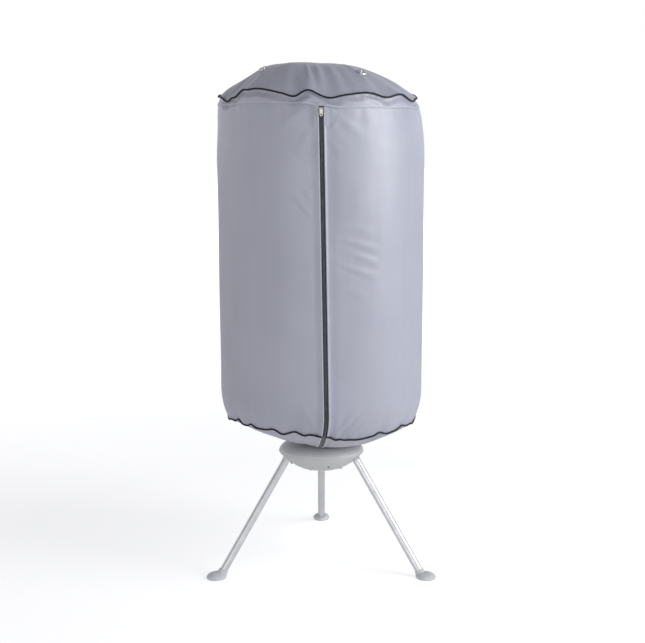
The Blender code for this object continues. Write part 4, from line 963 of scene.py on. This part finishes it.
def underside_points():
    """Grid of the bottom panel, from the bottom piping in to the collar on the blower's neck."""
    along, out = slit_columns()
    u = signed(along)
    share = np.linspace(1, 0, 56)[:, None]
    radius = panel_radius(share)
    opened = smooth((radius - (ZIP_END_RADIUS - 12 * MM)) / (14 * MM))
    hem = np.minimum(np.abs(u), HEM_REACH)
    edge = np.maximum(hem - (SLIT - 0.4 * MM) * (1 - opened), 0.3 * MM)
    azimuth = arc_azimuth(np.sign(u) * (np.abs(u) - hem + edge), radius)
    height = panel_height(share, azimuth)
    turn = azimuth + zip_turn(panel_zip_line(radius), radius, u)
    relief = puckers(along, BOTTOM_RING - radius, *UNDERSIDE_GATHERS)
    relief += puckers(along, radius - COLLAR_RING, *COLLAR_GATHERS)
    relief += undulation(along, height * 2, 53, 7, 0.20) * 1.2 * MM
    relief = relief * beyond(u, HEM_REACH, 20 * MM) + out
    return raised(turn, radius, height, 0.0, relief), cloth_uv(along, radius)


def add_cloth(name, grid, closed, node):
    """One fabric panel in the place of its CAD solid."""
    return new_object(name, grid_mesh(name, *grid, closed), "cover_cloth", node)


def build_cover():
    """The four fabric panels, each in the place of its CAD solid."""
    wall_grid = wall_points()
    dome_grid = dome_points()
    underside_grid = underside_points()
    wall = add_cloth("cover_wall", wall_grid, False, "cover_side")
    band = add_cloth("cover_shoulder", band_points(), True, "cover_band")
    dome = add_cloth("cover_dome", dome_grid, True, "cover_top")
    underside = add_cloth("cover_underside", underside_grid, False, "cover_bottom")
    return wall_grid[0], dome_grid[0], underside_grid[0]


# ---------------------------------------------------------------- piping, collar and stitches

def outward(point):
    """Level direction from the mast's axis to a point."""
    return Vector((point.x - AXIS.x, point.y - AXIS.y, 0)).normalized()


PIPING_POINTS = 720
JITTER_SPAN = 7                 # points over which the piping's unevenness is averaged


def tube_along(name, points, radius, node, closed=True, flatten=1.0):
    """A round cord through a list of points, kept upright in the ring that it follows."""
    points = [Vector(point) for point in points]
    before = (points[-1:] if closed else points[:1]) + points[:-1]
    after = points[1:] + (points[:1] if closed else points[-1:])
    path = []
    for point, last, following in zip(points, before, after):
        along = (following - last).normalized()
        up = along.cross(outward(point)).normalized()
        path.append((point, up.cross(along).normalized(), up))
    mesh = sweep_mesh(name, path, round_section(radius, 10, flatten), closed)
    new_object(name, mesh, "piping_cloth", node)


def build_piping():
    """The bound edges that join the panels."""
    rng = np.random.RandomState(7)
    draws = rng.uniform(-1, 1, PIPING_POINTS + JITTER_SPAN - 1)
    jitter = np.convolve(draws, np.ones(JITTER_SPAN) / JITTER_SPAN, "valid") * 0.8 * MM
    azimuths = np.linspace(0, 360, PIPING_POINTS, endpoint=False)
    edge = top_edge(azimuths)
    top = polar(azimuths, TOP_RING + 1.2 * MM, edge + jitter, wall_lean(edge))
    tube_along("top_piping", top, PIPING_RADIUS, "piping_top")
    u = signed(np.linspace(SLIT + 0.3 * MM, GIRTH - SLIT - 0.3 * MM, PIPING_POINTS))
    azimuths = np.degrees(u / WALL_RADIUS)
    edge = bottom_edge(azimuths)
    turn = azimuths + zip_turn(ZIP_PIPING_X, BOTTOM_RING, u)
    bottom = polar(turn, BOTTOM_RING + 1.6 * MM, edge + jitter, wall_lean(edge) * beyond(u, 0, 0.1))
    tube_along("bottom_piping", bottom, PIPING_RADIUS, "piping_bottom", closed=False)


def build_collar():
    """The gathered elastic round the blower's neck."""
    low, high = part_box("collar_elastic")
    thickness = (high.z - low.z) / 2
    turns = np.linspace(0, 360, 540, endpoint=False)
    gather = 0.9 * MM * np.cos(np.radians(turns * 54)) + 0.4 * MM * np.cos(np.radians(turns * 19 + 40))
    radius = COLLAR_RING - thickness + gather * 0.4
    ring = polar(turns, radius, (low.z + high.z) / 2 + gather * 0.5)
    tube_along("collar_gather", ring, thickness * 0.85, "collar_elastic", flatten=1.1)


# A stitch's rings: place along its length, size, lift out of the cloth as a share of its radius
STITCH_RINGS = (
    (-0.5, 0.25, -0.6), (-0.36, 0.9, -0.1), (0.0, 1.0, 0.15), (0.36, 0.9, -0.1), (0.5, 0.25, -0.6))


def capsule(length, radius, sides=6):
    """A short stitch that lies along X, its ends sunk into the cloth."""
    rings = []
    for place, size, lift in STITCH_RINGS:
        section = round_section(radius * size, sides)
        rings.append([(place * length, x, y + lift * radius) for x, y in section])
    return loft_shape(rings)


def run_lengths(points):
    """Distance along a line of points, from its start to each of them."""
    steps = np.linalg.norm(np.diff(points, axis=0), axis=1)
    return np.concatenate([[0], np.cumsum(steps)])


def frame_matrix(along, side, out, place):
    matrix = Matrix((along, side, out)).transposed().to_4x4()
    matrix.translation = place
    return matrix


def frames_along(points, lift):
    """Matrices at each stitch down a line on the cover, X along it and Z out of the cloth."""
    lengths = run_lengths(points)
    frames = []
    for station in np.arange(STITCH_PITCH, lengths[-1] - STITCH_PITCH, STITCH_PITCH):
        here, ahead = (
            Vector([np.interp(place, lengths, points[:, k]) for k in range(3)])
            for place in (station, station + STITCH_PITCH / 3))
        along = (ahead - here).normalized()
        radial = outward(here)
        side = radial.cross(along)
        if side.length < 0.2:
            side = Vector((1, 0, 0))
        side.normalize()
        out = along.cross(side).normalized()
        if out.dot(radial) < 0:
            out, side = -out, -side
        frames.append(frame_matrix(along, side, out, here + out * lift))
    return frames


def build_stitches(wall, underside):
    """Topstitching down both hems of the zipper and round the flat seam."""
    shape = capsule(STITCH_LENGTH, STITCH_RADIUS)
    column = [row[0] for row in HEM].index(STITCH_LINE / MM)
    matrices = []
    for index in (column, -1 - column):
        matrices += frames_along(wall[3:, index], 0.25 * MM)
        matrices += frames_along(underside[2:38, index], 0.25 * MM)
    stamp("zipper_topstitch", shape, matrices, "grey_thread")
    azimuths = np.linspace(0, 360, 721)
    top = top_edge(azimuths)
    seam = seam_edge(azimuths)
    height = seam + 4.5 * MM
    cloth = signed(np.radians(azimuths) * WALL_RADIUS)
    radius = drum_radius(azimuths, height) + band_bulge((top - height) / (top - seam), cloth)
    matrices = frames_along(polar(azimuths, radius, height, wall_lean(height)), 0.1 * MM)
    stamp("seam_topstitch", shape, matrices, "grey_thread")


# ---------------------------------------------------------------- zipper

def zip_frames(step):
    """Points down the zipper's centre line with their sideways and outward directions."""
    front = np.zeros(1)
    heights = np.linspace(SEAM_Z + 1 * MM, bottom_edge(front)[0] + 3 * MM, 400)
    radii = drum_radius(front, heights) - TAPE_DEPTH
    shares = np.linspace(1, 0, 200)
    under_radii = panel_radius(shares)
    under_heights = panel_height(shares, np.zeros(200)) + TAPE_DEPTH
    keep = (under_radii > ZIP_END_RADIUS) & (under_radii < BOTTOM_RING - 3 * MM)
    line = np.concatenate([
        [radii, heights, zip_line(heights)],
        [under_radii[keep], under_heights[keep], panel_zip_line(under_radii[keep])]], axis=1)
    lengths = run_lengths(line[:2].T)
    stations = np.arange(0, lengths[-1], step)
    radii, heights, sideways = (np.interp(stations, lengths, row) for row in line)
    frames = []
    for i, (radius, height, shift) in enumerate(zip(radii, heights, sideways)):
        before, after = max(i - 2, 0), min(i + 2, len(radii) - 1)
        run = Vector((radii[after] - radii[before], heights[after] - heights[before])).normalized()
        azimuth = shift / radius
        radial = Vector((math.sin(azimuth), -math.cos(azimuth), 0))
        side = Vector((math.cos(azimuth), math.sin(azimuth), 0))
        out = radial * -run.y + Vector((0, 0, run.x))
        point = Vector((AXIS.x, AXIS.y, height)) + radial * radius
        frames.append((point, side, out.normalized()))
    return frames


# A coil turn's rings, in mm: distance from the centre line, half width, height
TOOTH_RINGS = (
    (0.45, 0.55, 0.95), (0.75, 0.80, 1.20), (1.4, 0.75, 1.15), (2.6, 0.62, 0.95), (3.3, 0.40, 0.45))
TOOTH_SIDES = 8
TOOTH_LIFT = 0.2                # of the coil off the tape, in mm


def tooth_shape(side):
    """One turn of the nylon coil: a rounded bar with a bulging head at the centre line."""
    rings = []
    for x, half, top in TOOTH_RINGS:
        ring = []
        for i in range(TOOTH_SIDES):
            angle = TAU * i / TOOTH_SIDES
            out = TOOTH_LIFT + top / 2 + top / 2 * math.sin(angle)
            ring.append((side * x * MM, half * math.cos(angle) * MM, out * MM))
        rings.append(ring)
    vertices, faces = loft_shape(rings)
    return vertices, faces if side < 0 else [face[::-1] for face in faces]


# A tape's outline: distance from the centre line, and depth in half thicknesses. The edge by the
# centre is thinned where the coil is sewn on.
TAPE_OUTLINE = (
    (0.5 * MM, -1), (TAPE_EDGE, -1), (TAPE_EDGE, 1), (4.1 * MM, 1), (3.6 * MM, 0.4), (0.5 * MM, 1))


def build_zipper():
    """Two woven tapes with their nylon coils, in the place of the CAD halves."""
    coarse = zip_frames(6 * MM)
    turns = zip_frames(TOOTH_PITCH)[1:-1]
    seam = zip_frames(STITCH_PITCH)[1:-1]
    for name, side in (("left", -1), ("right", 1)):
        section = [(side * x, y * TAPE_HALF) for x, y in TAPE_OUTLINE]
        mesh = sweep_mesh(f"zip_tape_{name}", coarse, section)
        new_object(f"zip_tape_{name}", mesh, "zip_tape", f"zipper_{name}")
        matrices = []
        for point, across, out in turns:
            along = out.cross(across)
            matrices.append(frame_matrix(across, along, out, point + along * (side * TOOTH_PITCH / 4)))
        stamp(f"zip_coil_{name}", tooth_shape(side), matrices, "zip_tooth")
        matrices = []
        for point, across, out in seam:
            place = point + across * (side * TAPE_STITCH) + out * (TAPE_HALF + 0.1 * MM)
            matrices.append(frame_matrix(out.cross(across), across, out, place))
        shape = capsule(STITCH_LENGTH, STITCH_RADIUS * 0.7)
        stamp(f"tape_stitch_{name}", shape, matrices, "black_thread")


# ---------------------------------------------------------------- eyelets

# CAD node, azimuth and distance from the axis
EYELETS = (
    ("vent_eyelet_1", 44.0, 0.194),
    ("vent_eyelet_2", 166.0, 0.170),
    ("vent_eyelet_3", -58.0, 0.152),
)
# The cloth within this distance sets the tilt of an eyelet
EYELET_PATCH = 17 * MM


def eyelet_mesh(name):
    """Pressed metal ring with a rolled rim, a barrel and a flat washer under the cloth."""
    outline = [(7.0, -3.0), (6.4, -1.0)]
    for angle in np.radians(np.linspace(200, 0, 9)):
        outline.append((9.6 + 3.8 * math.cos(angle), 0.5 + 2.1 * math.sin(angle)))
    outline += [(13.3, 0.2), (9.0, -0.6), (8.6, -2.6), (13.0, -3.0)]
    turns = round_section(MM, 48)
    path = [(Vector((0, 0, 0)), Vector((x, y, 0)), Vector((0, 0, MM))) for x, y in turns]
    return sweep_mesh(name, path, outline, closed=True)


def painted_hole_shade_mesh(name):
    """Dark disc inside an eyelet's ring: painted shade that stands for the dark hole."""
    bm = bmesh.new()
    bmesh.ops.create_circle(bm, cap_ends=True, cap_tris=True, segments=32, radius=7.6 * MM)
    for vert in bm.verts:
        vert.co.z = -1.6 * MM
    return finished(bm, name)


def build_eyelets(dome):
    """Stand each eyelet on the folded dome, square to the cloth."""
    flat = dome.reshape(-1, 3)
    for node, azimuth, radius in EYELETS:
        place = dome_surface(np.array([azimuth]), np.array([radius / TOP_RING]))
        guess = polar(azimuth, *place).reshape(3)
        patch = flat[np.linalg.norm(flat - guess, axis=1) < EYELET_PATCH]
        centre = patch.mean(axis=0)
        normal = Vector(np.linalg.svd(patch - centre)[2][2])
        if normal.z < 0:
            normal = -normal
        matrix = normal.to_track_quat("Z", "Y").to_matrix().to_4x4()
        matrix.translation = Vector(centre) + normal * 3.2 * MM
        ring = eyelet_mesh(f"{node}_ring")
        ring.transform(matrix)
        new_object(f"{node}_ring", ring, "eyelet_metal", node)
        # A dark disc inside the ring paints the shade of the eyelet's hole
        matrix.translation = Vector(centre) + normal * 4.8 * MM
        painted_hole_shade = painted_hole_shade_mesh(f"{node}_gauze")
        painted_hole_shade.transform(matrix)
        new_object(f"{node}_gauze", painted_hole_shade, "dark_plastic")


# ---------------------------------------------------------------- camera, light and floor

SENSOR = 36                     # mm
LENS = 66.4                     # mm
CAMERA = (AXIS.x + 0.0036, AXIS.y - 3.418, 1.2924)
CAMERA_DIP = 9.56               # degrees below level

# Lights: place, size and power in watts. Both look at the middle of the cover.
KEY = ((3.3, -1.2, 2.3), (1.9, 3.1), 112)
FILL = ((-1.6, -4.2, 1.0), (2.4, 2.2), 26)
LIT = Vector((AXIS.x, AXIS.y, 1.0))


def place_camera():
    """A level-sided view from above the middle of the cover, looking slightly down."""
    data = bpy.data.cameras.new("camera")
    data.sensor_width = SENSOR
    data.lens = LENS
    camera = placed("camera", data)
    camera.location = CAMERA
    camera.rotation_euler = (math.radians(90 - CAMERA_DIP), 0, 0)
    bpy.context.scene.camera = camera


def area_light(name, place, size, power):
    data = bpy.data.lights.new(name, "AREA")
    data.shape = "RECTANGLE"
    data.size, data.size_y = size
    data.energy = power
    light = placed(name, data)
    light.location = place
    light.rotation_euler = (LIT - Vector(place)).to_track_quat("-Z", "Y").to_euler()


# Colours of the surroundings, how brightly the floor looks near the object (dimmer there, as painted
# shade) and far off, and the light it gives back
HORIZON_LEFT = (1.10, 1.10, 1.12)
HORIZON_RIGHT = (0.72, 0.82, 0.97)
ZENITH = (0.20, 0.20, 0.22)
NEAR_FLOOR_GLOW_PAINTED_SHADE = 0.345
FAR_FLOOR_GLOW = 0.95
FLOOR_BOUNCE = 0.28


def build_world():
    """Studio surroundings: bright at the horizon, cooler to the right, and plain white to look at."""
    world = bpy.data.worlds.new("studio")
    world.use_nodes = True
    graph = Graph(world.node_tree)
    nodes = world.node_tree.nodes
    place = graph.node("ShaderNodeTexCoord").outputs["Generated"]
    split = graph.node("ShaderNodeSeparateXYZ", {0: place})
    horizon = graph.mixed(graph.span(split.outputs["X"], -0.2, 0.9), HORIZON_LEFT, HORIZON_RIGHT)
    surround = graph.mixed(graph.span(split.outputs["Z"], 0.05, 0.65), horizon, ZENITH)
    graph.feed(surround, nodes["Background"].inputs["Color"])
    white = graph.node("ShaderNodeBackground", {"Color": (1, 1, 1, 1)})
    looked_at = graph.node("ShaderNodeLightPath").outputs["Is Camera Ray"]
    sources = {0: looked_at, 1: nodes["Background"].outputs[0], 2: white.outputs[0]}
    seen = graph.node("ShaderNodeMixShader", sources)
    graph.feed(seen.outputs[0], nodes["World Output"].inputs["Surface"])
    bpy.context.scene.world = world


def build_floor():
    """Pale floor that looks almost white, with painted shade where it glows less near the object, and
    throws a little light back up.
    """
    bm = bmesh.new()
    bmesh.ops.create_grid(bm, x_segments=8, y_segments=8, size=30.0)
    mesh = finished(bm, "floor")
    s = Shader("floor", (0.80, 0.80, 0.80), 0.6)
    s.colour(s.mixed(s.noise(s.place(), 0.8), (0.59, 0.59, 0.59), (0.61, 0.61, 0.61)))
    s.shader.inputs["Emission Color"].default_value = (1, 1, 1, 1)
    seen = s.node("ShaderNodeLightPath").outputs["Is Camera Ray"]
    away = s.node("ShaderNodeVectorMath", {"Vector": s.place()}, operation="LENGTH").outputs["Value"]
    # Painted shade: near the object the floor glows less to the camera
    glow_with_painted_shade = s.maths("MULTIPLY", seen, s.span(away, 1.0, 9.0, NEAR_FLOOR_GLOW_PAINTED_SHADE, FAR_FLOOR_GLOW))
    s.feed(s.maths("ADD", glow_with_painted_shade, FLOOR_BOUNCE), s.shader.inputs["Emission Strength"])
    mesh.materials.append(s.material)
    placed("floor", mesh)


def build_studio():
    bpy.context.scene.view_settings.view_transform = "Standard"
    build_world()
    build_floor()
    area_light("key", *KEY)
    area_light("fill", *FILL)


def main():
    place_camera()
    build_studio()
    paint_frame()
    wall, dome, underside = build_cover()
    build_piping()
    build_collar()
    build_stitches(wall, underside)
    build_zipper()
    build_eyelets(dome)


main()
